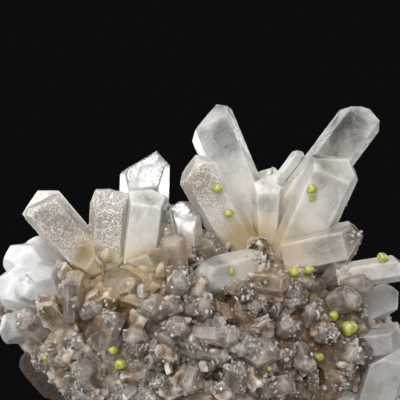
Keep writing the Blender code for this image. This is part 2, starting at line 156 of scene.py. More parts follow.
class Recipe:
    """A material and the nodes that it is made of."""

    def __init__(self, name: str) -> None:
        """Starts an empty material.

        Args:
            name: The material's name.
        """
        self.material = bpy.data.materials.new(name)
        self.material.use_nodes = True
        self.tree = self.material.node_tree
        self.tree.nodes.clear()
        self._position: Wire | None = None

    def node(
        self, kind: str, settings: dict[str, Any] | None = None, inputs: dict[Any, Any] | None = None
    ) -> list[Wire]:
        """Adds a node.

        Args:
            kind: The node's type.
            settings: Its properties, set first.
            inputs: A value or a Wire for each socket, by name or number.

        Returns:
            All of the node's outputs.
        """
        made = self.tree.nodes.new(kind)
        for key, value in (settings or {}).items():
            setattr(made, key, value)
        for key, value in (inputs or {}).items():
            socket = made.inputs[key]
            if isinstance(value, Wire):
                self.tree.links.new(value.socket, socket)
            elif isinstance(value, tuple) and len(value) == 3 and socket.type == "RGBA":
                socket.default_value = (*value, 1.0)
            else:
                socket.default_value = value
        return [Wire(self, s) for s in made.outputs]

    def position(self) -> Wire:
        """The Object coordinates, in metres."""
        if self._position is None:
            self._position = self.node("ShaderNodeTexCoord")[3]
        return self._position

    def grain(self, size: float, detail: float = 3.0, rough: float = 0.55, warp: float = 0.0) -> Wire:
        """Noise from 0 to 1.

        Args:
            size: The size of its features in millimetres.
            detail: How many finer layers it has.
            rough: How strong the finer layers are.
            warp: How much it is bent out of shape.

        Returns:
            The noise.
        """
        inputs = {
            "Vector": self.position(),
            "Scale": PER_METRE / size,
            "Detail": detail,
            "Roughness": rough,
            "Distortion": warp,
        }
        return self.node("ShaderNodeTexNoise", {}, inputs)[0]

    def cells(self, size: float, feature: str = "F1") -> Wire:
        """The distance to scattered points, as a share of their spacing.

        Args:
            size: Their spacing in millimetres.
            feature: The Voronoi feature.

        Returns:
            The distance.
        """
        inputs = {"Vector": self.position(), "Scale": PER_METRE / size}
        return self.node("ShaderNodeTexVoronoi", {"feature": feature}, inputs)[0]

    def streaks(self, along: float, across: float) -> Wire:
        """Noise drawn out along the crystal that a point belongs to.

        Args:
            along: The size of its features along the crystal in millimetres.
            across: Their size across it.

        Returns:
            The noise.
        """
        parts = {"X": self.attribute("along") * (1.0 / along), "Y": self.attribute("across") * (1.0 / across)}
        place = self.node("ShaderNodeCombineXYZ", {}, parts)[0]
        inputs = {"Vector": place, "Scale": 1.0, "Detail": 3.0, "Roughness": 0.55}
        return self.node("ShaderNodeTexNoise", {}, inputs)[0]

    def attribute(self, name: str) -> Wire:
        """A number that the mesh carries at each point."""
        return self.node("ShaderNodeAttribute", {"attribute_name": name})[2]

    def blend(self, share: Any, first: Any, second: Any) -> Wire:
        """Mixes two colours.

        Args:
            share: How much of the second there is.
            first: The first colour.
            second: The second colour.

        Returns:
            The mixed colour.
        """
        inputs = {0: share, 6: first, 7: second}
        return self.node("ShaderNodeMix", {"data_type": "RGBA"}, inputs)[2]

    def bump(self, height: Wire, depth: float, strength: float = 1.0) -> Wire:
        """A normal that follows a height.

        Args:
            height: The height from 0 to 1.
            depth: What 1 stands for in millimetres.
            strength: The share that is used.

        Returns:
            The normal.
        """
        inputs = {"Height": height, "Distance": depth * MM, "Strength": strength}
        return self.node("ShaderNodeBump", {}, inputs)[0]

    def principled(self, inputs: dict[str, Any]) -> Wire:
        """A Principled shader, in which light that enters walks at random."""
        return self.node("ShaderNodeBsdfPrincipled", {"subsurface_method": "RANDOM_WALK"}, inputs)[0]

    def absorption(self, colour: tuple[float, float, float], density: float) -> Wire:
        """A volume that takes colours out of the light that passes."""
        return self.node("ShaderNodeVolumeAbsorption", {}, {"Color": colour, "Density": density})[0]

    def part_milky(self, cloudy: Wire, clear: Wire, milky: Wire) -> Wire:
        """The clear shader, with the milky one where it is cloudy."""
        return self.node("ShaderNodeMixShader", {}, {0: cloudy, 1: clear, 2: milky})[0]

    def finish(self, surface: Wire, volume: Wire | None = None) -> bpy.types.Material:
        """Ends the recipe.

        Args:
            surface: The surface shader.
            volume: The volume shader, if it has one.

        Returns:
            The material.
        """
        inputs = {"Surface": surface}
        if volume:
            inputs["Volume"] = volume
        self.node("ShaderNodeOutputMaterial", {}, inputs)
        return self.material


@dataclass(frozen=True)
class CelestiteFinish:
    """Glassy celestite that is clear in places and milky in others.

    The mesh carries milk, dust, warm, grey and rim, each from 0 to 1, and along and across in millimetres.
    Grey is partly a smoky tint and partly painted shade; rim paints a highlight along the edges.
    """

    name: str
    pale: tuple[float, float, float] = Tint.MILK.value
    glass: tuple[float, float, float] = (0.97, 0.97, 0.96)
    gloss: float = 0.05
    veil_size: float = 5.0
    speck_size: float = 0.42
    scatter: float = 2.2
    haze_colour: tuple[float, float, float] = (0.86, 0.84, 0.80)
    haze_density: float = 40.0

    def material(self) -> bpy.types.Material:
        """Builds the material.

        Returns:
            The material.
        """
        mix = Recipe(self.name)
        milk = mix.attribute("milk")
        dust = mix.attribute("dust")
        warm = mix.attribute("warm")
        grey = mix.attribute("grey")
        veil = mix.grain(self.veil_size, 5.0, 0.62, 0.6)
        fine = mix.grain(0.8, 3.0, 0.6)
        specks_and_sparkles = mix.grain(self.speck_size, 2.0, 0.6, 0.1)
        sugar = mix.grain(0.45, 2.0, 0.6)
        growth = mix.streaks(1.3, 0.55)
        steps = mix.streaks(7.0, 1.4)

        rim = mix.attribute("rim")
        # rim also makes the edges milkier, as part of the painted highlight.
        cloudy = milk + (veil - 0.5) * 0.8 + (growth - 0.5) * 0.2 + dust * 0.2 + rim * 0.15
        dusted = (specks_and_sparkles + dust * 0.15).within(0.55, 0.64) * dust.within(0.05, 0.6)
        # Painted highlight: rim whitens the crystal towards ice along its edges.
        pale = mix.blend((fine.within(0.35, 0.7) * 0.4 + rim * 0.25).clamped(), self.pale, Tint.ICE.value)
        honeyed = mix.blend((warm * (0.6 + veil * 0.7)).clamped(), pale, Tint.HONEY.value)
        # Grey draws the colour towards smoke: partly the crystal's tint, partly painted shade.
        smoky_and_shaded = mix.blend((grey * (0.7 + veil * 0.6)).clamped(), honeyed, Tint.SMOKE.value)
        coloured = mix.blend(dusted * 0.75, smoky_and_shaded, Tint.DUST.value)

        relief = growth * 0.5 + steps * 0.5 + sugar * (0.15 + dust * 0.9)
        normal = mix.bump(relief, 0.22, 0.6)
        glass_normal = mix.bump(growth * 0.4 + steps * 0.7, 0.12, 0.4)
        rough = self.gloss + growth.within(0.45, 0.75) * 0.10 + dusted * 0.4

        milky = mix.principled({
            "Base Color": coloured,
            "Roughness": rough + 0.14,
            "IOR": CELESTITE_IOR,
            "Subsurface Weight": 0.9,
            "Subsurface Radius": (1.0, 0.94, 0.84),
            "Subsurface Scale": self.scatter * MM,
            "Normal": normal,
        })
        clear = mix.principled({
            "Base Color": self.glass,
            "Roughness": rough + 0.10,
            "IOR": CELESTITE_IOR,
            "Transmission Weight": 1.0,
            "Normal": glass_normal,
        })
        surface = mix.part_milky(cloudy.within(0.02, 0.95), clear, milky)
        return mix.finish(surface, mix.absorption(self.haze_colour, self.haze_density))


@dataclass(frozen=True)
class DruseFinish:
    """The crust of small crystals: painted highlight makes it pale on its crests and edges, and painted shade
    makes it umber in its hollows.

    The mesh carries milk, shade, depth, warm and rim, each from 0 to 1. Depth carries the painted shade and
    rim the painted highlight.
    """

    name: str = "celestite_druse"
    see_through: float = 0.45
    glass: tuple[float, float, float] = (0.95, 0.92, 0.875)
    veil_size: float = 3.4
    frost_size: float = 0.6
    frost_depth: float = 0.22
    scatter: float = 2.4
    haze_colour: tuple[float, float, float] = (0.84, 0.76, 0.66)
    haze_density: float = 110.0

    def material(self) -> bpy.types.Material:
        """Builds the material.

        Returns:
            The material.
        """
        mix = Recipe(self.name)
        milk = mix.attribute("milk")
        shade = mix.attribute("shade")
        depth = mix.attribute("depth")
        warm = mix.attribute("warm")
        rim = mix.attribute("rim")
        broad = mix.grain(13.0, 3.0, 0.55)
        veil = mix.grain(self.veil_size, 2.0, 0.5, 0.4)
        fine = mix.grain(self.frost_size, 3.0, 0.6)
        sugar = mix.cells(self.frost_size)

        # Painted shade: depth darkens the tone, and below it draws the hollows towards umber.
        tone = shade * 0.28 + veil * 0.8 + (fine - 0.5) * 0.5 + (broad - 0.5) * 0.5 + 0.24 - depth * 0.75
        pale = mix.blend(tone.clamped(), Tint.TAUPE.value, Tint.PALE_TAUPE.value)
        deep = mix.blend((depth + (veil - 0.5) * 0.5).within(0.12, 0.68), pale, Tint.UMBER.value)
        coloured = mix.blend((warm * (0.4 + veil)).clamped(), deep, Tint.HONEY.value)
        # Painted sparkles: pale dots on the crests, kept out of the painted shade of the hollows.
        specks_and_sparkles = sugar.within(0.28, 0.16) * mix.grain(3.0, 2.0).within(0.40, 0.54) * (1.0 - depth)
        # Painted highlight: rim lightens the edges and crests towards lilac, and the brightest rims go to
        # ice.
        rim_highlighted = mix.blend(rim.within(0.45, 0.85) * (1.0 - depth) * 0.5, coloured, Tint.LILAC.value)
        rim_glint = rim.within(0.86, 0.98)
        sparkling = mix.blend((specks_and_sparkles * 0.75 + rim_glint).clamped(), rim_highlighted, Tint.ICE.value)

        frost = (fine + sugar.within(0.5, 0.0) * 0.3) * (1.0 - warm * 0.7)
        normal = mix.bump(frost, self.frost_depth, 0.9)
        rough = 0.05 + fine.within(0.4, 0.75) * 0.16 + depth * 0.1
        cloudy = milk * 1.1 - 0.15 + (veil - 0.5) * 0.7 + rim * 0.25 + rim_glint
        milky = mix.principled({
            "Base Color": sparkling,
            "Roughness": rough + 0.06,
            "IOR": CELESTITE_IOR,
            "Transmission Weight": self.see_through,
            "Subsurface Weight": 0.8,
            "Subsurface Radius": (1.0, 0.9, 0.8),
            "Subsurface Scale": self.scatter * MM,
            "Normal": normal,
        })
        clear = mix.principled({
            "Base Color": self.glass,
            "Roughness": rough + 0.05,
            "IOR": CELESTITE_IOR,
            "Transmission Weight": 1.0,
            "Normal": normal,
        })
        surface = mix.part_milky(cloudy.within(0.0, 1.0), clear, milky)
        return mix.finish(surface, mix.absorption(self.haze_colour, self.haze_density))


@dataclass(frozen=True)
class CrumbFinish:
    """The sugar of tiny crystals on the crests: glassy and nearly white, partly their own pale colour and
    partly painted sparkle.
    """

    name: str = "crystal_crumbs"
    shadow: tuple[float, float, float] = (0.62, 0.54, 0.46)
    light: tuple[float, float, float] = (0.95, 0.92, 0.88)
    see_through: float = 0.35

    def material(self) -> bpy.types.Material:
        """Builds the material.

        Returns:
            The material.
        """
        mix = Recipe(self.name)
        cloud = mix.grain(1.6, 2.0).within(0.3, 0.7)
        surface = mix.principled({
            "Base Color": mix.blend(cloud, self.shadow, self.light),
            "Roughness": 0.06 + cloud * 0.12,
            "IOR": CELESTITE_IOR,
            "Transmission Weight": self.see_through,
            "Normal": mix.bump(mix.grain(0.4, 2.0), 0.04, 0.4),
        })
        return mix.finish(surface)


@dataclass(frozen=True)
class LimestoneFinish:
    """Broken limestone: grey and gritty, with rusty patches."""

    name: str = "limestone"
    relief_depth: float = 1.1

    def material(self) -> bpy.types.Material:
        """Builds the material.

        Returns:
            The material.
        """
        mix = Recipe(self.name)
        broad = mix.grain(9.0, 5.0, 0.65, 0.5)
        grit = mix.grain(0.9, 4.0, 0.7)
        spots = mix.cells(2.1)
        cracks = mix.cells(4.5, "DISTANCE_TO_EDGE")
        grey = mix.blend((broad * 0.7 + grit * 0.5 - 0.1).clamped(), Tint.SLATE.value, Tint.ASH.value)
        rust = mix.grain(5.0, 4.0, 0.7, 0.8).within(0.44, 0.60)
        rusty = mix.blend(rust * 0.9, grey, Tint.RUST.value)
        flecks = (1.0 - spots.within(0.05, 0.20)) * grit.within(0.48, 0.58)
        flecked = mix.blend(flecks, rusty, Tint.CHALK.value)
        relief = grit * 0.5 + spots * 0.25 + broad + cracks.within(0.0, 0.12) * 0.3
        surface = mix.principled({
            "Base Color": flecked,
            "Roughness": 0.78 + grit * 0.15,
            "Normal": mix.bump(relief, self.relief_depth),
        })
        return mix.finish(surface)


@dataclass(frozen=True)
class SulphurFinish:
    """Resinous yellow-green sulphur."""

    name: str = "sulphur"
    ior: float = 1.9
    scatter: float = 0.7

    def material(self) -> bpy.types.Material:
        """Builds the material.

        Returns:
            The material.
        """
        mix = Recipe(self.name)
        cloud = mix.grain(1.1, 3.0, 0.6, 0.3)
        colour = mix.blend(cloud.within(0.35, 0.65), Tint.OLIVE.value, Tint.LEMON.value)
        surface = mix.principled({
            "Base Color": colour,
            "Roughness": 0.18 + cloud * 0.2,
            "IOR": self.ior,
            "Subsurface Weight": 0.6,
            "Subsurface Radius": (1.0, 0.9, 0.15),
            "Subsurface Scale": self.scatter * MM,
            "Normal": mix.bump(mix.grain(0.35, 2.0), 0.08, 0.6),
        })
        return mix.finish(surface)


@dataclass(frozen=True)
class Crown:
    """The end of a crystal: where its peak is and how far each end face leans from level."""

    peak: float
    left: float
    right: float
    front: float = 42.0
    back: float = 42.0
    ridge: float = 0.25


CHISEL = Crown(0.1, 34, 36)
BLUNT = Crown(-0.1, 18, 24, 50, 50, 0.4)


@dataclass(frozen=True)
class Crystal:
    """One large crystal: its foot, the way it points, its size and how clear it is."""

    foot: tuple[float, float, float]
    lean: float
    tip_out: float
    length: float
    width: float
    depth: float
    crown: Crown
    roll: float = 0.0
    taper: float = 0.0
    flat: float = 0.5
    milk: float = 0.5
    dust: float = 0.0
    warm: float = 0.0
    # grey: partly the crystal's smoky tint, partly painted shade where it sits in shadow.
    grey: float = 0.0
    corners: int = 0

    def axis(self) -> Vector:
        """The way that it points."""
        a, b = math.radians(self.lean), math.radians(self.tip_out)
        return Vector((math.sin(a) * math.cos(b), -math.sin(b), math.cos(a) * math.cos(b)))

    def sides(self) -> tuple[Vector, Vector]:
        """Its right and its front."""
        axis = self.axis()
        right = Vector((0, 1, 0)).cross(axis).normalized()
        right = Matrix.Rotation(math.radians(self.roll), 3, axis) @ right
        return right, right.cross(axis)

    def faces(self) -> list[tuple[Vector, Vector]]:
        """Works out its faces.

        Returns:
            A point and an outward direction for each.
        """
        axis = self.axis()
        right, front = self.sides()
        half_width, half_depth = self.width / 2, self.depth / 2
        foot = Vector(self.foot)
        top = foot + axis * self.length
        inward = math.sin(math.radians(self.taper))
        run = (1 - self.flat) * half_width
        found = [(foot, -axis)]
        for way in (1, -1):
            found.append((top + way * front * half_depth, way * front - inward * axis))
            for side in (1, -1):
                across = Vector((side * half_depth, way * run)).normalized()
                outward = right * across.x + front * across.y - inward * axis
                found.append((top + side * right * half_width, outward))
        peak = top + right * self.crown.peak * half_width
        ridge = front * self.crown.ridge * half_depth
        ends = (
            (peak, -right, self.crown.left),
            (peak, right, self.crown.right),
            (peak + ridge, front, self.crown.front),
            (peak - ridge, -front, self.crown.back),
        )
        for point, sideways, lean in ends:
            angle = math.radians(lean)
            found.append((point, math.cos(angle) * axis + math.sin(angle) * sideways))
        return [(point, outward.normalized()) for point, outward in found]


def cut_along(bm: bmesh.types.BMesh, point: Vector, outward: Vector) -> None:
    """Takes off what lies beyond a plane and closes the cut.

    Args:
        bm: The mesh to cut.
        point: A point on the plane.
        outward: The side that is taken off.
    """
    everything = bm.verts[:] + bm.edges[:] + bm.faces[:]
    bmesh.ops.bisect_plane(bm, geom=everything, dist=1e-5, plane_co=point, plane_no=outward, clear_outer=True)
    rim = [e for e in bm.edges if e.is_boundary]
    if rim:
        bmesh.ops.edgeloop_fill(bm, edges=rim)


def new_piece(name: str, bm: bmesh.types.BMesh, material: bpy.types.Material | None) -> bpy.types.Object:
    """Turns a mesh in millimetres into an object in metres and frees it.

    Args:
        name: The object's name.
        bm: The mesh.
        material: Its material.

    Returns:
        The object.
    """
    bmesh.ops.scale(bm, vec=Vector((MM, MM, MM)), verts=bm.verts)
    mesh = bpy.data.meshes.new(name)
    bm.to_mesh(mesh)
    bm.free()
    if material:
        mesh.materials.append(material)
    piece = bpy.data.objects.new(name, mesh)
    bpy.context.scene.collection.objects.link(piece)
    return piece


def in_millimetres(meshes: list[bpy.types.Mesh]) -> bmesh.types.BMesh:
    """Copies meshes in metres into one mesh in millimetres.

    Args:
        meshes: The meshes.

    Returns:
        The copy.
    """
    bm = bmesh.new()
    for mesh in meshes:
        bm.from_mesh(mesh)
    bmesh.ops.scale(bm, vec=Vector((PER_METRE, PER_METRE, PER_METRE)), verts=bm.verts)
    return bm


def surface_of(meshes: list[bpy.types.Mesh]) -> BVHTree:
    """The surface of meshes in metres, as a tree in millimetres."""
    bm = in_millimetres(meshes)
    tree = BVHTree.FromBMesh(bm)
    bm.free()
    return tree


def solid_copy(node: str) -> bmesh.types.BMesh:
    """Copies a node's solid in millimetres, with its points merged and its flat faces whole.

    Args:
        node: The node's name.

    Returns:
        The copy.
    """
    bm = in_millimetres([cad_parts[node].data])
    bmesh.ops.remove_doubles(bm, verts=bm.verts, dist=MERGED_WITHIN)
    bmesh.ops.dissolve_limit(bm, angle_limit=math.radians(0.5), verts=bm.verts, edges=bm.edges)
    return bm


def pour(bm: bmesh.types.BMesh, whole: bmesh.types.BMesh) -> None:
    """Adds a mesh to another one and frees it.

    Args:
        bm: The mesh that is added.
        whole: The mesh that it goes into.
    """
    mesh = bpy.data.meshes.new("poured")
    bm.to_mesh(mesh)
    bm.free()
    whole.from_mesh(mesh)
    bpy.data.meshes.remove(mesh)


def refine(bm: bmesh.types.BMesh, longest: float) -> None:
    """Divides a mesh until hardly an edge is longer than a length.

    Args:
        bm: The mesh.
        longest: The length in millimetres.
    """
    bmesh.ops.triangulate(bm, faces=bm.faces)
    for _ in range(MOST_DIVISIONS):
        long_edges = [e for e in bm.edges if e.calc_length() > longest]
        if len(long_edges) < FEW_LONG_EDGES:
            break
        bmesh.ops.subdivide_edges(bm, edges=long_edges, cuts=1)
        bmesh.ops.triangulate(bm, faces=[f for f in bm.faces if len(f.verts) > 3])


def smooth(bm: bmesh.types.BMesh, points: list[bmesh.types.BMVert], passes: int) -> None:
    """Wears a mesh smooth and works out its normals.

    Args:
        bm: The mesh.
        points: The points that may move.
        passes: How many times they move halfway to their neighbours.
    """
    for _ in range(passes):
        bmesh.ops.smooth_vert(bm, verts=points, factor=0.5, use_axis_x=True, use_axis_y=True, use_axis_z=True)
    bm.normal_update()


def push_out(points: list[bmesh.types.BMVert], push_at: Callable[[bmesh.types.BMVert], float]) -> None:
    """Moves points along their normals, all from where they are now.

    Args:
        points: The points.
        push_at: A function that says how far a point goes.
    """
    moves = [(vert, vert.normal * push_at(vert)) for vert in points]
    for vert, move in moves:
        vert.co += move


def unite(pieces: list[bpy.types.Object]) -> bpy.types.Mesh:
    """Joins overlapping solids into one and removes them.

    Args:
        pieces: The solids.

    Returns:
        The joined mesh.
    """
    first, *others = pieces
    group = bpy.data.collections.new("to_join")
    for other in others:
        group.objects.link(other)
    join = first.modifiers.new("join", "BOOLEAN")
    join.operation = "UNION"
    join.solver = "EXACT"
    join.operand_type = "COLLECTION"
    join.collection = group
    joined = bpy.data.meshes.new_from_object(first.evaluated_get(bpy.context.evaluated_depsgraph_get()))
    for piece in pieces:
        bpy.data.objects.remove(piece, do_unlink=True)
    bpy.data.collections.remove(group)
    return joined


def all_solids() -> BVHTree:
    """The surface of the whole specimen in millimetres, without the sulphur."""
    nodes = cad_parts.items()
    return surface_of([solid.data for node, solid in nodes if not node.startswith("sulphur")])


def convexity(bm: bmesh.types.BMesh, sharp: float = 0.16, most: float = 1.5) -> list[float]:
    """How far each point stands out from its neighbours.

    Args:
        bm: The mesh.
        sharp: How far it stands out on a sharp crest, in millimetres.
        most: The limit of the answer.

    Returns:
        About 1 on a sharp crest and about -1 in a sharp crease, for each point.
    """
    bm.verts.index_update()
    around = [[e.other_vert(v).index for e in v.link_edges] for v in bm.verts]
    places = [v.co.copy() for v in bm.verts]
    found = []
    for vert, near in zip(bm.verts, around):
        middle = sum((places[i] for i in near), Vector()) / max(1, len(near))
        found.append(max(-most, min(most, (vert.co - middle).dot(vert.normal) / sharp)))
    for _ in range(2):
        means = [sum(found[i] for i in near) / max(1, len(near)) for near in around]
        found = [0.5 * own + 0.5 * mean for own, mean in zip(found, means)]
    return found


def stamp(
    bm: bmesh.types.BMesh, names: tuple[str, ...], values_at: Callable[[Vector], tuple[float, ...]]
) -> None:
    """Writes numbers on every point of a mesh.

    Args:
        bm: The mesh.
        names: The attributes.
        values_at: A function that gives their values at a point.
    """
    for name in names:
        bm.verts.layers.float.new(name)
    layers = [bm.verts.layers.float[name] for name in names]
    for vert in bm.verts:
        for layer, value in zip(layers, values_at(vert.co)):
            vert[layer] = value


def shade_by_angle(piece: bpy.types.Object, degrees: float) -> None:
    """Smooths a piece except where its faces meet at more than an angle."""
    piece.data.shade_smooth()
    piece.data.set_sharp_from_angle(angle=math.radians(degrees))


@dataclass(frozen=True)
class Patch:
    """A part of the surface that differs from the rest, placed by where the viewer sees it."""

    spot: tuple[float, float]
    radius: float
    milk: float = 0.0
    dust: float = 0.0
    warm: float = 0.0
    # grey: on the large crystals partly a smoky tint and partly painted shade; on the druse painted shade,
    # taken away where it is below 0.
    grey: float = 0.0
    bare: float = 0.0


def seen_from_viewer(point: Vector) -> tuple[float, float]:
    """Where the viewer sees a point, as x and z on the plane Y = 0."""
    run = -VIEWER.y / (point.y - VIEWER.y)
    return point.x * run, VIEWER.z + (point.z - VIEWER.z) * run


def patched(point: Vector, patches: tuple[Patch, ...]) -> dict[str, float]:
    """Adds up what the patches do at a point.

    Args:
        point: The point.
        patches: The patches.

    Returns:
        The change of each value.
    """
    change = {"milk": 0.0, "dust": 0.0, "warm": 0.0, "grey": 0.0, "bare": 0.0}
    if point.y > HIDDEN_BEYOND:
        return change
    x, z = seen_from_viewer(point)
    for patch in patches:
        away = math.hypot(x - patch.spot[0], z - patch.spot[1]) / patch.radius
        if away > PATCH_REACH:
            continue
        near = math.exp(-away * away)
        for name in change:
            change[name] += near * getattr(patch, name)
    return change


def share(value: float) -> float:
    """Keeps a value between 0 and 1."""
    return min(1.0, max(0.0, value))


def edge_nearness(point: Vector, faces: list[tuple[Vector, Vector]]) -> float:
    """How near a point on a crystal is to one of its edges, from 0 to 1."""
    reach = sorted(((point - on).dot(out) for on, out in faces), reverse=True)
    return math.exp(reach[1] / EDGE_WIDTH) if reach[1] < 0 else 1.0


def block_from(crystal: Crystal) -> bmesh.types.BMesh:
    """Cuts a crystal from a block.

    Args:
        crystal: Its sizes.

    Returns:
        The crystal.
    """
    bm = bmesh.new()
    faces = crystal.faces()
    centre = sum((point for point, _ in faces), Vector()) / len(faces)
    bmesh.ops.create_cube(bm, size=4 * crystal.length, matrix=Matrix.Translation(centre))
    for point, outward in faces:
        cut_along(bm, point, outward)
    return bm


def soften(bm: bmesh.types.BMesh, edges: list[bmesh.types.BMEdge], width: float, segments: int) -> None:
    """Rounds edges off.

    Args:
        bm: The mesh.
        edges: The edges.
        width: How wide the rounding is.
        segments: How many steps it has.
    """
    bmesh.ops.bevel(
        bm,
        geom=edges,
        offset=width,
        offset_type="OFFSET",
        segments=segments,
        profile=0.5,
        affect="EDGES",
        material=-1,
        clamp_overlap=True,
    )
    bmesh.ops.recalc_face_normals(bm, faces=bm.faces)


@dataclass
class CrystalGroup:
    """Large crystals that have grown into each other."""

    node: str
    crystals: tuple[Crystal, ...]
    patches: tuple[Patch, ...] = ()
    glints: tuple[tuple[float, float, float, tuple[float, float, float]], ...] = ()
    grain: float = 1.0
    sharp_from: float = 24.0
    edge_width: float = 0.14
    roughness: float = 1.0
    rounding: int = 0
    root_warmth: float = 0.35
    slot: str = "clear_celestite"

    def _cut_crystal(self, crystal: Crystal, rng: random.Random) -> bmesh.types.BMesh:
        """Cuts one crystal from a block and takes off a few of its corners."""
        bm = block_from(crystal)
        right, front = crystal.sides()
        axis = crystal.axis()
        for _ in range(crystal.corners):
            turn = rng.uniform(0, math.tau)
            lean = math.radians(rng.uniform(38, 76))
            sideways = math.cos(turn) * right + math.sin(turn) * front
            outward = (math.cos(lean) * axis + math.sin(lean) * sideways).normalized()
            furthest = max(v.co.dot(outward) for v in bm.verts)
            depth = rng.uniform(0.02, 0.06) * crystal.width
            cut_along(bm, outward * (furthest - depth), outward)
        return bm

    def _add_glints(self, blocks: list[bmesh.types.BMesh]) -> None:
        """Cuts the small faces that the viewer sees on the crystals.

        Args:
            blocks: The crystals.
        """
        for x, z, depth, way in self.glints:
            outward = Vector(way).normalized()
            ahead = (Vector((x, 0, z)) - VIEWER).normalized()
            hits = []
            for i, block in enumerate(blocks):
                place, _, _, far = BVHTree.FromBMesh(block).ray_cast(VIEWER, ahead)
                if place:
                    hits.append((far, i, place))
            if hits:
                _, i, place = min(hits)
                cut_along(blocks[i], place - outward * depth, outward)

    def _rough_crystals(self) -> list[bpy.types.Object]:
        """Cuts every crystal and takes the sharpness off its edges.

        Returns:
            The crystals.
        """
        rng = random.Random(len(self.node))
        blocks = [self._cut_crystal(crystal, rng) for crystal in self.crystals]
        self._add_glints(blocks)
        made = []
        for i, bm in enumerate(blocks):
            edges = [e for e in bm.edges if e.calc_length() > 3 * self.edge_width]
            soften(bm, edges, self.edge_width, 2)
            made.append(new_piece(f"rough_{self.node}_{i}", bm, None))
        return made

    def _shares(self, point: Vector, planes: list[list[tuple[Vector, Vector]]]) -> list[float]:
        """How much of a point belongs to each crystal.

        Args:
            point: The point.
            planes: The faces of every crystal.

        Returns:
            A share for each crystal. They add up to 1.
        """
        reach = [max((point - on).dot(out) for on, out in faces) for faces in planes]
        weights = [math.exp(-abs(r) / SEAM_WIDTH) + 1e-9 for r in reach]
        total = sum(weights)
        return [w / total for w in weights]

    def _values(self, point: Vector, planes: list[list[tuple[Vector, Vector]]]) -> tuple[float, ...]:
        """The values that the mesh carries at a point.

        Args:
            point: The point.
            planes: The faces of every crystal.

        Returns:
            Milk, dust, warm, grey, rim, along and across.
        """
        milk = dust = warm = grey = rim = along = across = 0.0
        for weight, crystal, faces in zip(self._shares(point, planes), self.crystals, planes):
            if weight < 0.01:
                continue
            # rim: nearness to an edge, which the finish paints as a highlight.
            rim += weight * edge_nearness(point, faces)
            from_foot = point - Vector(crystal.foot)
            right, front = crystal.sides()
            distance = from_foot.dot(crystal.axis())
            rooted = max(0.0, 1.0 - 1.6 * distance / crystal.length)
            milk += weight * (crystal.milk + 0.5 * rooted)
            dust += weight * crystal.dust * min(1.0, 1.5 - abs(distance / crystal.length - 0.55) * 1.6)
            warm += weight * (crystal.warm + self.root_warmth * rooted * 1.6)
            # grey: partly a smoky tint, partly painted shade.
            grey += weight * crystal.grey
            along += weight * distance
            across += weight * (from_foot.dot(right) + from_foot.dot(front) * 0.7)
        milk += 0.28 * noise.noise(point / 6.0 + Vector((3, 9, 2)))
        change = patched(point, self.patches)
        milk, dust = milk + change["milk"], dust + change["dust"]
        shares = (milk, dust, warm + change["warm"], grey + change["grey"], rim)
        return tuple(share(v) for v in shares) + (along, across)

    def _relief(self, point: Vector, dusty: float) -> float:
        """How far the surface stands out at a point, more unevenly where it is dusty."""
        fine = noise.noise(point / 1.2) * (0.03 + 0.10 * dusty)
        broad = 0.07 * noise.noise(point / 3.6) + 0.05 * noise.noise(point / 9.0)
        return (fine + broad) * self.roughness

    def build(self, material: bpy.types.Material) -> bpy.types.Object:
        """Builds the group.

        Args:
            material: Its finish.

        Returns:
            The piece.
        """
        bm = in_millimetres([unite(self._rough_crystals())])
        bmesh.ops.remove_doubles(bm, verts=bm.verts, dist=MERGED_WITHIN)
        if min(v.co.z for v in bm.verts) < CRUST_FLOOR:
            cut_along(bm, Vector((0, 0, CRUST_FLOOR)), Vector((0, 0, -1)))
        refine(bm, self.grain)
        smooth(bm, bm.verts[:], self.rounding)
        planes = [crystal.faces() for crystal in self.crystals]
        stamp(bm, CRYSTAL_VALUES, lambda point: self._values(point, planes))
        dusty = bm.verts.layers.float["dust"]
        push_out(bm.verts[:], lambda vert: self._relief(vert.co, vert[dusty]))
        piece = new_piece(f"{self.node}_grown", bm, material)
        shade_by_angle(piece, self.sharp_from)
        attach(piece, "root")
        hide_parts(self.node)
        return piece


@dataclass(frozen=True)
class NamedCrystal:
    """A crystal of the druse that the viewer can make out."""

    spot: tuple[float, float]
    lean: float
    tip_out: float
    length: float
    width: float
    shade: float = 0.7
    milk: float = 0.5
    warm: float = 0.0
    edge: float = 0.35
    sink: float = 0.18

    def crystal(self, surface: BVHTree, rng: random.Random) -> Crystal:
        """Stands the crystal where the viewer sees it.

        Args:
            surface: What it stands on.
            rng: The source of chance.

        Returns:
            The crystal.
        """
        ahead = (Vector((self.spot[0], 0, self.spot[1])) - VIEWER).normalized()
        place = surface.ray_cast(VIEWER, ahead)[0]
        crown = Crown(rng.uniform(-0.3, 0.3), rng.uniform(20, 42), rng.uniform(20, 42), 48, 40, 0.3)
        sizes = (self.lean, self.tip_out, self.length, self.width, self.width * 0.8, crown)
        upwards = Crystal((0, 0, 0), *sizes).axis()
        foot = place - upwards * self.width * 0.3 + Vector((0, 1, 0)) * self.width * self.sink
        roll, flat, taper = rng.uniform(-25, 25), rng.uniform(0.35, 0.7), rng.uniform(0, 5)
        return Crystal(tuple(foot), *sizes, roll=roll, flat=flat, taper=taper)


@dataclass(frozen=True)
class Sowing:
    """A sowing of crystals on the crust: how many, how large and how they stand."""

    name: str
    count: int
    smallest: float
    largest: float
    bias: float
    swing: float
    rise: tuple[float, float]
    beds: int
    bevelled: bool = False
    tallest: float = 2.2


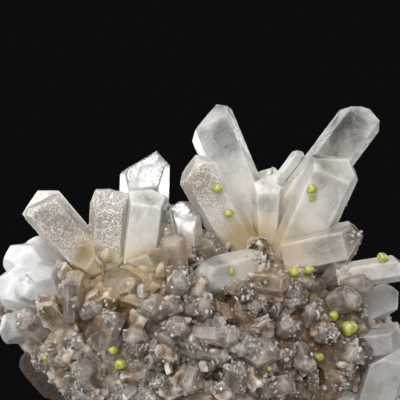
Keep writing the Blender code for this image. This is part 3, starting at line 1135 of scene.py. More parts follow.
@dataclass
class Druse:
    """The crust with its thousands of small crystals."""

    node: str = "crystal_crust"
    seed: int = 5
    shapes: int = 20
    tray: int = 80
    bud_spacing: float = 2.4
    grown_apart: tuple[float, float, float] = (50.5, 31.0, 34.0)
    patches: tuple[Patch, ...] = ()
    crumbs: tuple[tuple[float, float, float, int], ...] = ()
    named: tuple[NamedCrystal, ...] = ()
    sowings: tuple[Sowing, ...] = (
        Sowing("druse_coarse", 380, 3.0, 6.2, 1.4, 0.8, (-0.55, -0.30), 2, True, 1.25),
        Sowing("druse_middle", 760, 1.3, 3.0, 1.4, 0.9, (-0.50, -0.05), 2, True),
        Sowing("druse_fine", 4600, 0.20, 0.75, 2.0, 0.8, (-0.1, 0.3), 4),
    )

    def _template(self, rng: random.Random, bevelled: bool, tallest: float) -> bpy.types.Mesh:
        """A small crystal one unit wide that points up, with an uneven chisel end."""
        bm = bmesh.new()
        tall = rng.uniform(0.6, 1.0) * tallest
        thick = rng.uniform(0.4, 0.85)
        bmesh.ops.create_cube(bm, size=1.0)
        bmesh.ops.scale(bm, vec=Vector((1.0, thick, tall)), verts=bm.verts)
        top = Vector((rng.uniform(-0.12, 0.12), 0.0, tall / 2))
        for sideways in (1, -1):
            angle = math.radians(rng.uniform(28, 55))
            cut_along(bm, top, Vector((sideways * math.sin(angle), 0, math.cos(angle))))
        angle = math.radians(rng.uniform(20, 50))
        way = rng.choice((1, -1))
        cut_along(bm, top * 0.96, Vector((0, way * math.sin(angle), math.cos(angle))))
        for side in (1, -1):
            corner = Vector((side * 0.44, rng.choice((1, -1)) * thick * 0.44, 0))
            cut_along(bm, corner, corner.normalized() + Vector((0, 0, rng.uniform(-0.1, 0.2))))
        for _ in range(5 if bevelled else 0):
            turn, lean = rng.uniform(0, math.tau), math.radians(rng.uniform(30, 80))
            way = Vector((math.cos(turn) * math.sin(lean), math.sin(turn) * math.sin(lean), math.cos(lean)))
            furthest = max(v.co.dot(way) for v in bm.verts)
            cut_along(bm, way * (furthest - rng.uniform(0.05, 0.22)), way)
        if bevelled:
            soften(bm, bm.edges[:], 0.045, 1)
            # rim: painted highlight, high on the bevelled edges and nothing at the middle of each broad face.
            rim = bm.verts.layers.float.new("rim")
            for vert in bm.verts:
                vert[rim] = 0.8
            broad = [f for f in bm.faces if f.calc_area() > 0.08]
            for vert in bmesh.ops.poke(bm, faces=broad)["verts"]:
                vert[rim] = 0.0
            for vert in bm.verts:
                vert.co += 0.05 * noise.noise_vector(vert.co * 1.7 + Vector((tall, 0, 0)))
        bmesh.ops.recalc_face_normals(bm, faces=bm.faces)
        mesh = bpy.data.meshes.new("small_crystal")
        bm.to_mesh(mesh)
        bm.free()
        return mesh

    def _hollow(self, point: Vector) -> float:
        """How far a point lies below the crests, from 0 to 1."""
        from_centre = point - ROCK_CENTRE
        reach = sum((abs(d) / h) ** 2.5 for d, h in zip(from_centre, self.grown_apart)) ** (1 / 2.5)
        return share((1.0 - reach) * 3.6)

    def _depth(self, point: Vector, change: dict[str, float]) -> float:
        """How dark painted shade makes the druse at a point, from 0 to 1: darker in its hollows and where the
        patches add grey.
        """
        return share(self._hollow(point) + change["grey"])

    def build(
        self, material: bpy.types.Material, crumb: bpy.types.Material, ground: bpy.types.Material
    ) -> list[bpy.types.Object]:
        """Builds the druse.

        Args:
            material: The finish of its crystals.
            crumb: The finish of the smallest of them.
            ground: The finish of the crust that they grow from.

        Returns:
            The pieces.
        """
        rng = random.Random(self.seed)
        body = solid_copy(self.node)
        refine(body, 2.2)
        body.normal_update()
        surface = BVHTree.FromBMesh(body)
        everything = all_solids()
        faces = [f for f in body.faces if self._faces_out(f)]
        made = [self._named_piece(surface, rng, material)]
        for sowing in self.sowings:
            templates = [self._template(rng, sowing.bevelled, sowing.tallest) for _ in range(self.shapes)]
            weights = [f.calc_area() * self._welcome(f.calc_center_median(), sowing) for f in faces]
            spots = rng.choices(faces, weights=weights, k=sowing.count)
            seeds = [self._place(face, sowing, rng) for face in spots]
            if not sowing.bevelled:
                crests = surface_of([piece.data for piece in made])
                seeds = [self._raised(place, milk, crests) for place, milk in seeds]
                seeds += self._crumbs(everything, rng)
            seeds.sort(key=lambda s: s[0].translation.x)
            step = math.ceil(len(seeds) / sowing.beds)
            for bed in range(sowing.beds):
                part = self._sown(seeds[bed * step : (bed + 1) * step], templates, rng)
                piece = new_piece(f"{sowing.name}_{bed}", part, material if sowing.bevelled else crumb)
                shade_by_angle(piece, 50 if sowing.bevelled else 10)
                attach(piece, "root")
                made.append(piece)
        return [self._body(body, ground)] + made

    def _named_values(
        self, point: Vector, named: NamedCrystal, faces: list[tuple[Vector, Vector]], away: Vector
    ) -> tuple[float, ...]:
        """The values that a placed crystal carries at a point.

        Args:
            point: The point.
            named: The crystal.
            faces: Its faces.
            away: Where its clouds are read from the noise.

        Returns:
            Milk, shade, depth, warm and rim.
        """
        milk = share(named.milk + 0.3 * noise.noise(point / 3.0 + away))
        change = patched(point, self.patches)
        # depth: painted shade, darker in the hollows and lighter on paler crystals; rim: painted highlight
        # along the edges.
        depth = share(self._hollow(point) * 0.8 + change["grey"] * 0.5 - 0.25 * named.shade)
        return milk, named.shade, depth, named.warm, 0.85 * edge_nearness(point, faces)

    def _named_piece(
        self, surface: BVHTree, rng: random.Random, material: bpy.types.Material
    ) -> bpy.types.Object:
        """Builds the crystals of the druse that the viewer can make out.

        Args:
            surface: The surface of the crust.
            rng: The source of chance.
            material: Their finish.

        Returns:
            The piece.
        """
        whole = bmesh.new()
        for named in self.named:
            crystal = named.crystal(surface, rng)
            bm = block_from(crystal)
            soften(bm, bm.edges[:], min(0.5, named.edge), 2)
            refine(bm, 0.9)
            smooth(bm, bm.verts[:], int(named.edge * 5))
            faces = crystal.faces()
            away = Vector((rng.uniform(-9, 9), 0, 0))
            stamp(bm, DRUSE_VALUES, lambda point: self._named_values(point, named, faces, away))
            push_out(bm.verts[:], lambda vert: 0.16 * noise.noise(vert.co / 2.4 + away))
            self._kept_in(bm.verts[:])
            pour(bm, whole)
        piece = new_piece("druse_named", whole, material)
        shade_by_angle(piece, 28)
        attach(piece, "root")
        return piece

    def _raised(self, place: Matrix, milk: float, crests: BVHTree) -> tuple[Matrix, float]:
        """Lifts a small crystal onto the crystal that stands above it.

        Args:
            place: Where it is.
            milk: How milky it is.
            crests: The surface of the larger crystals.

        Returns:
            Where it goes, and how milky it is.
        """
        point = place.translation
        outward = (point - ROCK_CENTRE).normalized()
        top, normal, _, _ = crests.ray_cast(point + 12 * outward, -outward, 12)
        if not top:
            return place, milk
        upright = normal.to_track_quat("Z", "Y").to_matrix().to_4x4()
        return Matrix.Translation(top) @ upright @ place.to_3x3().to_4x4(), milk

    def _crumbs(self, surface: BVHTree, rng: random.Random) -> list[tuple[Matrix, float]]:
        """Sets pale crumbs where the viewer sees them.

        Args:
            surface: The surface of the crust.
            rng: The source of chance.

        Returns:
            Where each goes, and how milky it is.
        """
        seeds = []
        for x, z, radius, count in self.crumbs:
            for _ in range(count):
                scatter = 0.5 * radius if count > 1 else 0.0
                spot = Vector((x + rng.gauss(0, 1) * scatter, 0, z + rng.gauss(0, 1) * scatter))
                place, normal, _, _ = surface.ray_cast(VIEWER, (spot - VIEWER).normalized())
                if not place:
                    continue
                size = rng.uniform(0.3, 0.9) if count > 1 else radius
                turn = Matrix.Rotation(rng.uniform(0, math.tau), 4, normal)
                upright = normal.to_track_quat("Z", "Y").to_matrix().to_4x4()
                seeds.append((Matrix.Translation(place) @ turn @ upright @ Matrix.Scale(size, 4), 1.0))
        return seeds

    def _welcome(self, point: Vector, sowing: Sowing) -> float:
        """How thickly crystals stand at a point.

        Args:
            point: The point.
            sowing: The sowing.

        Returns:
            A factor from 0 up.
        """
        bare = patched(point, self.patches)["bare"]
        clustering = 1.0 if sowing.bevelled else 2.2
        thick = math.exp(clustering * 1.6 * noise.noise(point / 4.5 + Vector((2, 5, 8))))
        return thick * max(0.0, 1.0 - bare)

    def _faces_out(self, face: bmesh.types.BMFace) -> bool:
        """Whether a face of the crust looks away from the limestone."""
        centre = face.calc_center_median()
        outward = (centre - ROCK_CENTRE).normalized()
        return face.normal.dot(outward) > 0.05 and centre.z > 3.2

    def _place(self, face: bmesh.types.BMFace, sowing: Sowing, rng: random.Random) -> tuple[Matrix, float]:
        """Sets a small crystal on a face.

        Args:
            face: The face that it grows from.
            sowing: The sowing.
            rng: The source of chance.

        Returns:
            Where it goes, and how milky it is.
        """
        a, b = rng.random(), rng.random()
        if a + b > 1:
            a, b = 1 - a, 1 - b
        corners = [v.co for v in face.verts[:3]]
        point = corners[0] + a * (corners[1] - corners[0]) + b * (corners[2] - corners[0])
        size = sowing.smallest + (sowing.largest - sowing.smallest) * rng.random() ** sowing.bias
        swing = Vector((rng.uniform(-1, 1), rng.uniform(-1, 1), rng.uniform(-1, 1)))
        outward = (point - ROCK_CENTRE).normalized()
        axis = (face.normal + 0.6 * outward + sowing.swing * swing).normalized()
        upright = axis.to_track_quat("Z", "Y").to_matrix().to_4x4()
        turn = Matrix.Rotation(rng.uniform(0, math.tau), 4, axis) @ upright
        place = Matrix.Translation(point + axis * size * rng.uniform(*sowing.rise)) @ turn
        return place @ Matrix.Scale(size, 4), rng.uniform(0.1, 0.66)

    def _kept_in(self, points: list[bmesh.types.BMVert]) -> None:
        """Draws a crystal back where it stands out too far.

        Args:
            points: The points of the crystal.
        """
        beyond = FOREMOST - min(v.co.y for v in points)
        if beyond > 0:
            for vert in points:
                vert.co.y += beyond

    def _sown(
        self, seeds: list[tuple[Matrix, float]], templates: list[bpy.types.Mesh], rng: random.Random
    ) -> bmesh.types.BMesh:
        """Joins small crystals into one mesh.

        Args:
            seeds: The place and the milkiness of each.
            templates: The shapes to choose from.
            rng: The source of chance.

        Returns:
            The mesh.
        """
        whole = bmesh.new()
        for start in range(0, len(seeds), self.tray):
            tray = bmesh.new()
            for name in DRUSE_VALUES:
                tray.verts.layers.float.new(name)
            layers = [tray.verts.layers.float[name] for name in DRUSE_VALUES]
            for place, milk in seeds[start : start + self.tray]:
                before = len(tray.verts)
                tray.from_mesh(rng.choice(templates))
                tray.verts.ensure_lookup_table()
                shade = rng.random()
                change = patched(place.translation, self.patches)
                for vert in tray.verts[before:]:
                    vert.co = place @ vert.co
                self._kept_in(tray.verts[before:])
                for vert in tray.verts[before:]:
                    # rim keeps the painted highlight of the template's edges; depth is the painted shade of
                    # the hollows.
                    rim = max(vert[layers[-1]], 0.1)
                    values = (milk, shade, self._depth(vert.co, change), share(change["warm"]), rim)
                    for layer, value in zip(layers, values):
                        vert[layer] = value
            pour(tray, whole)
        for vert in whole.verts:
            vert.co.z = max(vert.co.z, CRUST_FLOOR + 0.1)
        return whole

    def _ground_values(self, point: Vector) -> tuple[float, ...]:
        """The values that the crust carries at a point.

        Args:
            point: The point.

        Returns:
            Milk, shade, depth, warm and rim.
        """
        change = patched(point, self.patches)
        milk = 0.95 + 0.3 * noise.noise(point / 5.0)
        shade = 0.3 + 0.4 * noise.noise(point / 3.0)
        # depth: 0.42 darkens the whole crust, and the painted shade of its hollows comes on top.
        return share(milk), share(shade), share(0.42 + self._depth(point, change)), share(change["warm"]), 0.0

    def _bud(self, point: Vector) -> float:
        """How far a point is up one of the buds that cover the crust, from about -0.5 to 0.5."""
        return 0.5 - noise.voronoi(point / self.bud_spacing)[0][0]

    def _body(self, body: bmesh.types.BMesh, material: bpy.types.Material) -> bpy.types.Object:
        """Roughens the crust under the small crystals, with painted highlight on its crests and painted shade
        in its creases.

        Args:
            body: The crust.
            material: Its finish.

        Returns:
            The piece.
        """
        refine(body, 1.1)
        body.normal_update()
        crests = convexity(body)
        stamp(body, DRUSE_VALUES, self._ground_values)
        deep = body.verts.layers.float["depth"]
        rim = body.verts.layers.float["rim"]
        # Painted highlight on the crests and tops of the buds, painted shade in the creases between them.
        for vert, crest in zip(body.verts, crests):
            bud = self._bud(vert.co)
            vert[rim] = share(crest * 0.7 + bud)
            vert[deep] = share(vert[deep] - crest * 0.3 - bud * 0.5)
        above = [v for v in body.verts if v.co.z > 2.0]
        push_out(above, lambda vert: 0.14 * noise.noise(vert.co / 0.8) + 1.3 * self._bud(vert.co))
        piece = new_piece("crust_body", body, material)
        shade_by_angle(piece, 30)
        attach(piece, "root")
        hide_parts(self.node)
        return piece


@dataclass
class Limestone:
    """The broken lump of limestone."""

    node: str = "limestone_matrix"
    grain: float = 1.1
    kept_flat: float = 0.8
    wear: int = 50
    furthest: float = 1.8

    def _relief(self, point: Vector) -> float:
        """How far the broken surface stands out at a point, less near the flat underside.

        Args:
            point: The point.

        Returns:
            The distance in millimetres.
        """
        ledges = noise.ridged_multi_fractal(point / 15.0, 0.9, 2.1, 4, 1.0, 2.0) - 1.2
        broad = 2.2 * math.tanh((7.0 * noise.noise(point / 15.0) + 0.9 * ledges) / 2.5) - 1.2
        bent = point + 2.0 * noise.noise_vector(point / 6.0)
        scallops = 3.0 * (noise.voronoi(bent / 9.0)[0][0] - 0.45)
        grit = 1.2 * noise.noise(point / 4.5) + 0.9 * noise.noise(point / 2.0)
        return min(self.furthest, broad + scallops + grit) * min(1.0, point.z / 3)

    def build(self, material: bpy.types.Material) -> bpy.types.Object:
        """Builds the limestone.

        Args:
            material: Its finish.

        Returns:
            The piece.
        """
        bm = solid_copy(self.node)
        refine(bm, self.grain)
        above = [v for v in bm.verts if v.co.z > self.kept_flat]
        smooth(bm, above, self.wear)
        push_out(above, lambda vert: self._relief(vert.co))
        piece = new_piece("limestone_lump", bm, material)
        shade_by_angle(piece, 35)
        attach(piece, "root")
        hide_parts(self.node)
        return piece


@dataclass
class SulphurGrains:
    """The grains of sulphur, rounded and set against their crystals."""

    prefix: str = "sulphur_grain_"
    swell: float = 1.16

    def build(self, material: bpy.types.Material) -> list[bpy.types.Object]:
        """Builds the grains.

        Args:
            material: Their finish.

        Returns:
            The pieces.
        """
        made = []
        for node in sorted(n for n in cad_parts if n.startswith(self.prefix)):
            bm = solid_copy(node)
            bmesh.ops.triangulate(bm, faces=bm.faces)
            centre = sum((v.co for v in bm.verts), Vector()) / len(bm.verts)
            for _ in range(2):
                bmesh.ops.subdivide_edges(bm, edges=bm.edges, cuts=1, use_grid_fill=True, smooth=0.6)
            form = noise.noise_vector(centre / 7.0)
            stretch = Vector((1.08 + 0.3 * form.x, 1.0, 1.0 + 0.25 * form.z))
            for vert in bm.verts:
                away = vert.co - centre
                lumpy = 1.0 + 0.22 * noise.noise(vert.co * 0.9) + 0.10 * noise.noise(vert.co * 2.0)
                vert.co = centre + away * stretch * self.swell * lumpy
            piece = new_piece(f"{node}_bead", bm, material)
            piece.data.shade_smooth()
            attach(piece, "root")
            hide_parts(node)
            made.append(piece)
        return made


@dataclass(frozen=True)
class Softbox:
    """A soft light that the camera doesn't see."""

    name: str
    place: tuple[float, float, float]
    size: float
    watts: float


@dataclass
class Studio:
    """The floor, the lights and the camera."""

    aim: tuple[float, float, float] = (0.0, 0.0, 0.045)
    sheet_size: float = 2.0
    sheet_edge: float = 0.05
    sheet_fall: float = 0.16
    room: tuple[float, float, float] = (0.004, 0.004, 0.004)
    lens: float = 180.0
    sensor: float = 36.0
    softboxes: tuple[Softbox, ...] = (
        Softbox("left_rear", (-0.52, 0.34, 0.26), 0.60, 2.7),
        Softbox("right_rear", (0.56, 0.30, 0.28), 0.55, 2.4),
        Softbox("above", (-0.05, -0.05, 0.70), 0.80, 2.0),
        Softbox("front_key", (-0.16, -0.72, 0.32), 0.85, 6.5),
        Softbox("spark", (-0.06, -0.30, 0.50), 0.05, 0.30),
    )

    def floor(self) -> bpy.types.Object:
        """A pale sheet that dips away behind the specimen.

        Returns:
            The floor.
        """
        bm = bmesh.new()
        bmesh.ops.create_grid(bm, x_segments=2, y_segments=200, size=self.sheet_size)
        for vert in bm.verts:
            beyond = max(0.0, vert.co.y - self.sheet_edge)
            vert.co.z = -self.sheet_fall * beyond * beyond / (beyond + self.sheet_edge)
        mesh = bpy.data.meshes.new("floor")
        bm.to_mesh(mesh)
        bm.free()
        mix = Recipe("floor_paper")
        colour = mix.blend(mix.grain(40.0, 2.0), (0.42, 0.42, 0.41), (0.46, 0.46, 0.45))
        mesh.materials.append(mix.finish(mix.principled({"Base Color": colour, "Roughness": 0.8})))
        sheet = bpy.data.objects.new("floor", mesh)
        bpy.context.scene.collection.objects.link(sheet)
        sheet.data.shade_smooth()
        return sheet

    def lights(self) -> None:
        """Sets the softboxes round the specimen and makes the room dark."""
        for box in self.softboxes:
            data = bpy.data.lights.new(box.name, "AREA")
            data.shape = "SQUARE"
            data.size = box.size
            data.energy = box.watts
            lamp = bpy.data.objects.new(box.name, data)
            lamp.location = box.place
            ahead = Vector(self.aim) - Vector(box.place)
            lamp.rotation_euler = ahead.to_track_quat("-Z", "Y").to_euler()
            lamp.visible_camera = False
            bpy.context.scene.collection.objects.link(lamp)
        world = bpy.data.worlds.new("dark_room")
        world.use_nodes = True
        backdrop = world.node_tree.nodes["Background"]
        backdrop.inputs["Color"].default_value = (*self.room, 1.0)
        bpy.context.scene.world = world
        bpy.context.scene.view_settings.view_transform = "Standard"

    def camera(self) -> None:
        """Puts a long lens level with the crystals."""
        data = bpy.data.cameras.new("camera")
        data.lens = self.lens
        data.sensor_width = self.sensor
        camera = bpy.data.objects.new("camera", data)
        camera.location = VIEWER * MM
        camera.rotation_euler = (math.radians(90), 0, 0)
        bpy.context.scene.collection.objects.link(camera)
        bpy.context.scene.camera = camera


SPARK = (-0.05, -0.88, 0.46)

GROUPS = (
    CrystalGroup(
        "right_crystal_fan",
        (
            Crystal(
                (15.0, 2.0, 49.9), -22.3, -12, 36.8, 12.4, 9.5,
                Crown(0.5, 35, 40, 48, 42, 0.1), flat=0.7, milk=0.42, grey=0.28,
            ),
            Crystal(
                (11.0, -6.0, 46.2), -29.4, 15, 28.0, 10.4, 8.6,
                Crown(0.32, 30, 44, 30, 42, 0.5), flat=0.65, milk=0.74, dust=0.35,
            ),
            Crystal(
                (16.6, -3.5, 47.5), 1.0, 4, 18.2, 8.8, 8.0,
                Crown(-0.25, 32, 27, 48, 40, 0.2), taper=4, flat=0.65, milk=0.6, warm=0.1,
            ),
            Crystal(
                (16.6, 4.0, 50.0), 5.0, -4, 18.4, 7.6, 8.0,
                Crown(0.15, 22, 45, 40, 40), flat=0.4, milk=0.85,
            ),
            Crystal(
                (22.6, -5.0, 44.5), 23.6, 12, 29.6, 13.1, 10.5,
                Crown(0.37, 19, 43, 46, 42, 0.15), flat=0.7, milk=0.54, dust=0.12, grey=0.08,
            ),
            Crystal(
                (18.0, 2.0, 50.4), 37.2, -14, 42.2, 11.3, 9.0,
                Crown(0.06, 37, 26, 36, 42, 0.45), flat=0.7, milk=0.42,
            ),
            Crystal((13.4, 5.0, 55.8), 37.2, -12, 21.2, 3.8, 5.0, CHISEL, milk=0.5, grey=0.2),
            Crystal(
                (21.2, -8.0, 46.0), 78.0, 12, 19.5, 11.2, 11.0,
                Crown(-0.2, 30, 40, 46, 40, 0.3), flat=0.6, milk=0.5, warm=0.15, grey=0.25,
            ),
        ),
        patches=(
            Patch((6.2, 76.2), 3.6, milk=-0.55),
            Patch((9.5, 65.0), 4.5, milk=0.12),
            Patch((-0.5, 64.0), 4.5, dust=0.75, warm=0.06),
            Patch((10.8, 49.2), 5.0, warm=1.1, grey=0.15),
            Patch((31.8, 67.5), 4.0, warm=0.25, grey=0.3),
            Patch((22.0, 51.0), 4.5, warm=0.3, grey=0.15),
            Patch((34.5, 78.2), 4.5, milk=-0.35),
            Patch((29.0, 72.0), 3.0, milk=-0.3),
            Patch((32.8, 48.5), 4.5, warm=0.25, grey=0.2),
        ),
        glints=((16.1, 63.3, 0.12, SPARK), (28.6, 69.6, 0.10, SPARK)),
    ),
    CrystalGroup(
        "left_crystal_fan",
        (
            Crystal(
                (-23.0, -7.0, 40.0), -40.0, 10, 26.4, 10.4, 9.5,
                Crown(-0.57, 33, 16, 26, 40, 0.5), flat=0.7, milk=0.6, dust=0.6,
            ),
            Crystal(
                (-23.6, 1.0, 40.0), -40.0, 2, 28.0, 10.8, 8.0,
                Crown(0.27, 16, 40, 40, 40, 0.3), milk=1.0,
            ),
            Crystal(
                (-23.0, -9.0, 43.5), 4.0, 9, 19.4, 9.8, 9.0,
                Crown(-0.1, 8, 12, 52, 40, 0.2), flat=0.65, milk=0.58, dust=0.6,
            ),
            Crystal(
                (-14.8, -10.0, 44.5), 7.0, 6, 18.4, 9.8, 8.6,
                Crown(0.2, 10, 22, 46, 40, 0.2), flat=0.75, milk=0.62, dust=0.08, grey=0.05,
            ),
            Crystal(
                (-14.4, -2.0, 46.0), 2.0, 2, 26.4, 12.4, 10.0,
                Crown(0.44, 33, 47, 40, 40, 0.1), flat=0.6, milk=0.42, grey=0.5, corners=4,
            ),
            Crystal(
                (-24.0, -4.0, 40.5), -6.0, 60, 14.5, 13.5, 9.0,
                Crown(-0.15, 26, 34, 38, 30, 0.3), roll=10, milk=0.5, warm=0.75,
            ),
            Crystal(
                (-14.6, -6.0, 41.5), 12.0, 56, 12.0, 10.5, 8.0,
                Crown(0.2, 30, 26, 40, 34, 0.3), roll=-16, milk=0.5, warm=0.7,
            ),
            Crystal(
                (-31.0, -8.0, 38.5), 96.0, 24, 21.0, 10.0, 9.0,
                Crown(-0.2, 30, 40), roll=12, milk=0.5, warm=0.8,
            ),
            Crystal((-8.0, -3.5, 45.0), -3.0, 6, 14.4, 5.2, 6.0, CHISEL, milk=0.6, warm=0.5),
        ),
        patches=(
            Patch((-35.0, 54.0), 4.5, dust=0.4, warm=0.05),
            Patch((-29.2, 49.8), 4.0, warm=0.25),
            Patch((-23.8, 56.0), 4.0, dust=0.3),
            Patch((-13.0, 68.0), 5.0, milk=-0.3),
        ),
        glints=(
            (-22.8, 60.6, 0.3, SPARK),
            (-26.4, 60.4, 0.0, (-0.86, -0.25, 0.44)),
            (-8.9, 68.0, 0.25, SPARK),
        ),
        root_warmth=0.28,
    ),
    CrystalGroup(
        "white_crystal_cluster",
        (
            Crystal(
                (-34.0, -2.0, 34.0), -38.0, 4, 19.6, 12.0, 9.5,
                Crown(-0.2, 22, 34, 40, 40, 0.3), milk=0.8, corners=5,
            ),
            Crystal((-37.0, -6.0, 35.5), -72.0, 8, 14.2, 11.0, 9.0, Crown(0.1, 28, 38), milk=0.8, corners=5),
            Crystal((-35.0, -11.0, 33.0), -20.0, 16, 12.8, 8.6, 8.0, BLUNT, milk=0.6, grey=0.3, corners=5),
            Crystal((-37.0, -12.0, 35.5), -62.0, 26, 9.6, 6.4, 6.0, CHISEL, milk=0.6, corners=4),
            Crystal((-34.0, -12.0, 31.0), -100.0, 18, 15.4, 7.6, 7.0, BLUNT, milk=0.6, grey=0.75),
            Crystal((-33.5, 0.0, 42.0), -50.0, -2, 12.4, 7.4, 7.0, BLUNT, milk=0.8, corners=4),
        ),
        patches=(Patch((-37.5, 41.5), 3.5, grey=0.2),),
        edge_width=0.3,
        rounding=3,
        roughness=3.0,
        root_warmth=0.08,
        slot="white_celestite",
    ),
    CrystalGroup(
        "oval_front_crystal",
        (
            Crystal(
                (15.0, -14.5, 44.0), -103.0, 20, 18.4, 10.6, 9.4,
                Crown(0.05, 30, 34, 38, 40, 0.2), flat=0.5, milk=0.6, warm=0.1, grey=0.35,
            ),
        ),
        edge_width=1.2,
        rounding=26,
    ),
    CrystalGroup(
        "clear_pointed_crystal",
        (
            Crystal(
                (-1.6, -9.5, 45.0), -9.0, 7, 15.6, 7.0, 6.2,
                Crown(-0.1, 30, 42, 46, 40, 0.2), roll=-14, milk=0.34, grey=0.15,
            ),
        ),
        glints=((-1.4, 53.2, 0.25, SPARK),),
    ),
    CrystalGroup(
        "right_spear_crystal",
        (
            Crystal(
                (33.5, -14.0, 41.3), 81.0, 8, 17.5, 6.6, 6.6,
                Crown(0.35, 40, 34, 40, 40, 0.3), flat=0.55, milk=0.6, warm=0.1, grey=0.35,
            ),
        ),
    ),
    CrystalGroup(
        "lower_right_crystals",
        (
            Crystal(
                (38.4, -12.0, -2.8), 16.0, 6, 29.2, 11.2, 10.0,
                Crown(0.4, 42, 30, 44, 40, 0.3), flat=0.7, milk=0.6, grey=0.7,
            ),
            Crystal((37.2, -15.0, -2.6), -8.0, 8, 17.6, 7.2, 7.0, CHISEL, milk=0.5, grey=0.6, warm=0.2),
            Crystal((45.6, -12.2, -2.6), 6.0, 12, 16.0, 7.0, 7.0, BLUNT, milk=0.6, grey=0.7),
        ),
        patches=(Patch((40.0, 13.0), 1.8, warm=0.6),),
        root_warmth=0.1,
        slot="white_celestite",
    ),
    CrystalGroup(
        "right_edge_crystals",
        (
            Crystal((37.0, -7.0, 30.5), 56.0, 8, 14.0, 8.6, 8.0, CHISEL, milk=0.6, grey=0.6),
            Crystal((36.5, -11.0, 24.0), 82.0, 14, 14.0, 9.6, 8.0, BLUNT, milk=0.5, grey=0.7, warm=0.1),
        ),
        glints=((47.0, 38.8, 0.3, SPARK),),
        root_warmth=0.15,
        slot="white_celestite",
    ),
    CrystalGroup(
        "rear_crystal_fan",
        (
            Crystal(
                (-2.0, 5.0, 33.0), -12.0, -34, 27.0, 9.0, 8.0,
                CHISEL, roll=20, milk=0.4, grey=0.2, corners=2,
            ),
            Crystal(
                (-4.5, 5.0, 32.5), -42.0, -34, 27.0, 8.0, 7.0,
                Crown(0.2, 26, 40), roll=-10, milk=0.35, grey=0.15, corners=2,
            ),
            Crystal(
                (1.0, 6.0, 32.5), 30.0, -46, 26.0, 7.6, 7.0,
                Crown(-0.2, 34, 30), roll=35, milk=0.4, grey=0.2, corners=2,
            ),
            Crystal(
                (-2.5, 6.0, 31.0), -6.0, -66, 24.0, 7.4, 7.0,
                BLUNT, roll=15, milk=0.35, grey=0.3, dust=0.3, corners=3,
            ),
        ),
    ),
    CrystalGroup(
        "rear_side_crystals",
        (
            Crystal(
                (24.0, 6.0, 29.0), 34.0, -42, 22.0, 7.8, 7.4,
                CHISEL, roll=-18, milk=0.35, grey=0.25, corners=2,
            ),
            Crystal(
                (25.5, 6.0, 28.0), 62.0, -34, 21.0, 7.0, 6.6,
                BLUNT, roll=8, milk=0.4, grey=0.3, corners=3,
            ),
            Crystal(
                (26.5, 5.0, 26.5), 82.0, -16, 21.0, 7.4, 7.0,
                CHISEL, roll=30, milk=0.4, grey=0.3, corners=2,
            ),
        ),
    ),
    CrystalGroup(
        "rear_left_crystals",
        (
            Crystal(
                (-24.5, 4.0, 29.0), -42.0, -36, 20.0, 7.6, 7.2,
                CHISEL, roll=25, milk=0.35, grey=0.3, corners=2,
            ),
            Crystal(
                (-22.0, 5.0, 28.0), -16.0, -56, 20.0, 7.0, 6.8,
                BLUNT, roll=-12, milk=0.35, grey=0.3, dust=0.3, corners=3,
            ),
        ),
    ),
)

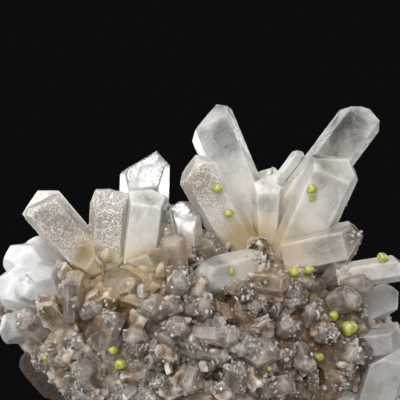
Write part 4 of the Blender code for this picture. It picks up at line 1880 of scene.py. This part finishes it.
NAMED_CRYSTALS = (
    NamedCrystal((-32.5, 31.0), 2, 12, 11.0, 4.6, shade=1.0, milk=0.5, edge=0.2, sink=-0.3),
    NamedCrystal((-28.0, 32.0), 62, 30, 6.5, 5.0, shade=1.0, sink=-0.2),
    NamedCrystal((-23.5, 24.5), 18, 22, 10.0, 6.4, shade=0.8),
    NamedCrystal((-29.5, 14.0), 12, 34, 9.0, 6.6, shade=0.6, edge=0.7),
    NamedCrystal((-6.0, 37.5), 30, 52, 8.0, 6.2, shade=0.7, edge=0.6),
    NamedCrystal((-10.5, 32.0), -20, 56, 7.0, 5.4, shade=0.6),
    NamedCrystal((-2.0, 32.6), 74, 46, 7.0, 4.4, shade=0.8),
    NamedCrystal((-5.0, 27.4), -40, 62, 6.5, 5.6, shade=0.7),
    NamedCrystal((0.5, 26.4), 96, 24, 11.0, 5.6, shade=0.95, milk=0.7, edge=0.9),
    NamedCrystal((1.5, 20.8), 84, 30, 8.0, 4.4, shade=0.8, edge=0.7),
    NamedCrystal((-1.5, 17.6), 200, 26, 8.0, 4.8, shade=0.8, edge=0.8),
    NamedCrystal((-15.5, 24.0), -24, 44, 7.0, 5.4, shade=0.6),
    NamedCrystal((-12.5, 15.5), -60, 40, 6.0, 4.6, shade=0.5),
    NamedCrystal((-20.5, 12.0), 150, 36, 7.5, 5.2, shade=0.4),
    NamedCrystal((11.5, 22.6), 112, 30, 11.0, 7.6, shade=0.9, edge=0.9),
    NamedCrystal((9.0, 15.0), 12, 34, 8.0, 6.4, shade=0.7, edge=0.8),
    NamedCrystal((17.5, 13.0), 74, 30, 8.0, 5.6, shade=0.8, edge=0.8),
    NamedCrystal((15.0, 39.0), 96, 26, 10.0, 6.2, shade=0.2, warm=0.45, edge=1.2),
    NamedCrystal((24.0, 37.5), 188, 34, 7.0, 4.8, shade=0.7),
    NamedCrystal((27.5, 29.6), 10, 38, 6.0, 4.0, shade=0.8),
    NamedCrystal((25.0, 22.0), 160, 36, 8.0, 5.8, shade=0.7, edge=0.6),
    NamedCrystal((35.0, 34.5), 64, 42, 8.0, 6.6, shade=0.6),
    NamedCrystal((21.0, 27.5), 40, 56, 6.0, 4.8, shade=0.4),
    NamedCrystal((36.0, 22.5), 120, 40, 7.0, 5.4, shade=0.6),
    NamedCrystal((33.0, 40.5), 40, 34, 8.0, 6.4, shade=0.7, edge=0.5, sink=-0.4),
    NamedCrystal((37.5, 38.6), 84, 30, 8.0, 5.4, shade=0.7, edge=0.4, sink=0.15),
    NamedCrystal((-41.0, 27.5), -40, 34, 8.0, 6.4, shade=0.8),
    NamedCrystal((-26.5, 42.5), 70, 40, 13.0, 11.0, shade=0.9, warm=0.8, edge=1.8, sink=0.25),
    NamedCrystal((-31.0, 39.0), 196, 30, 10.0, 8.0, shade=0.8, warm=0.75, edge=1.5, sink=0.25),
    NamedCrystal((-15.0, 44.0), 20, 40, 10.0, 9.0, shade=0.7, warm=0.6, edge=1.5, sink=0.25),
    NamedCrystal((-20.5, 39.0), 120, 50, 10.0, 9.0, shade=0.8, warm=0.8, edge=1.6, sink=0.25),
    NamedCrystal((-6.0, 43.0), -6, 22, 11.0, 6.6, shade=0.6, warm=0.15, edge=0.5),
    NamedCrystal((4.0, 46.0), -34, 20, 8.5, 7.0, shade=0.4, warm=0.4, edge=0.2),
    NamedCrystal((-11.0, 44.0), 20, 30, 8.0, 6.0, shade=0.6, warm=0.35, edge=0.8),
    NamedCrystal((13.5, 46.5), -40, 30, 6.5, 6.5, shade=0.5, warm=0.7, edge=1.0),
)

# On the druse, a patch's grey is painted shade in a recess, and a grey below 0 takes painted shade away.
DRUSE_PATCHES = (
    Patch((-6.0, 34.0), 5.0, grey=-0.4),
    Patch((-22.0, 20.0), 9.0, grey=-0.3),
    Patch((-19.8, 30.5), 2.4, grey=0.6),
    Patch((-5.0, 34.0), 7.0, grey=-0.30),
    Patch((2.0, 25.5), 6.0, grey=-0.30),
    Patch((-22.0, 22.0), 9.0, grey=-0.20),
    Patch((-36.0, 25.0), 8.0, grey=-0.35),
    Patch((-27.8, 28.2), 3.0, grey=0.9, bare=0.9),
    Patch((-20.2, 30.6), 3.6, grey=1.0, bare=1.0),
    Patch((7.0, 33.5), 5.0, grey=0.9, bare=0.3),
    Patch((24.0, 28.0), 10.0, grey=0.35),
    Patch((4.5, 17.0), 3.0, grey=0.9, bare=0.8),
    Patch((-18.0, 17.0), 4.0, grey=0.5),
    Patch((28.0, 15.0), 5.0, grey=0.4),
    Patch((-20.0, 41.0), 8.0, warm=0.6, bare=2.0),
    Patch((-30.0, 42.0), 5.5, warm=0.4, bare=1.8),
    Patch((-13.0, 43.0), 4.5, warm=0.3, bare=1.4),
    Patch((-10.0, 48.0), 6.0, warm=0.4, bare=0.5),
    Patch((16.0, 45.0), 7.0, grey=0.1, warm=0.5, bare=0.6),
)

# Tiny crystals that the viewer sees: across, up, the radius that they lie in, and how many.
CRUMBS = (
    (16.0, 45.2, 3.4, 60),
    (40.5, 47.0, 1.6, 26),
    (43.5, 47.4, 1.6, 26),
    (46.5, 46.8, 1.4, 18),
    (36.0, 42.5, 2.6, 30),
    (38.5, 51.0, 1.6, 10),
    (-8.2, 58.5, 1.2, 8),
    (-8.0, 53.5, 1.4, 12),
    (-8.6, 48.5, 1.6, 12),
    (-27.6, 53.5, 0.9, 8),
    (-27.0, 50.0, 1.2, 8),
    (17.0, 66.5, 2.4, 12),
    (38.0, 58.0, 1.0, 6),
    (2.6, 47.4, 1.2, 6),
    (-0.5, 46.0, 1.6, 10),
    (28.3, 40.7, 1.0, 1),
    (-14.4, 36.9, 2.3, 1),
    (-8.0, 18.6, 2.6, 1),
    (-32.4, 33.5, 1.3, 1),
    (0.5, 24.2, 1.2, 1),
    (-30.0, 22.0, 1.2, 1),
    (21.5, 20.5, 1.3, 1),
    (-8.0, 18.8, 0.7, 4),
    (-24.0, 33.0, 2.4, 24),
    (-14.2, 37.2, 1.2, 8),
    (21.0, 21.0, 3.0, 24),
    (30.0, 33.0, 2.0, 12),
    (-38.0, 22.0, 3.0, 24),
    (4.0, 27.0, 3.5, 24),
)


def main() -> None:
    """Builds every piece, dresses it and reports it."""
    logging.basicConfig(level=logging.INFO, format="%(message)s")
    clear = CelestiteFinish("clear_celestite").material()
    white = CelestiteFinish("white_celestite", pale=Tint.ICE.value, haze_density=20.0).material()
    made: list[bpy.types.Object] = [Limestone().build(LimestoneFinish().material())]
    druse = Druse(patches=DRUSE_PATCHES, crumbs=CRUMBS, named=NAMED_CRYSTALS)
    ground = DruseFinish("druse_ground", see_through=0.0).material()
    made += druse.build(DruseFinish().material(), CrumbFinish().material(), ground)
    for group in GROUPS:
        made.append(group.build(white if group.slot == "white_celestite" else clear))
    made += SulphurGrains().build(SulphurFinish().material())
    studio = Studio()
    studio.floor()
    studio.lights()
    studio.camera()
    total = 0
    for piece in made:
        piece.data.calc_loop_triangles()
        total += len(piece.data.loop_triangles)
        LOG.info("%s: %d triangles", piece.name, len(piece.data.loop_triangles))
    LOG.info("in all: %d triangles", total)


if __name__ == "__main__":
    main()
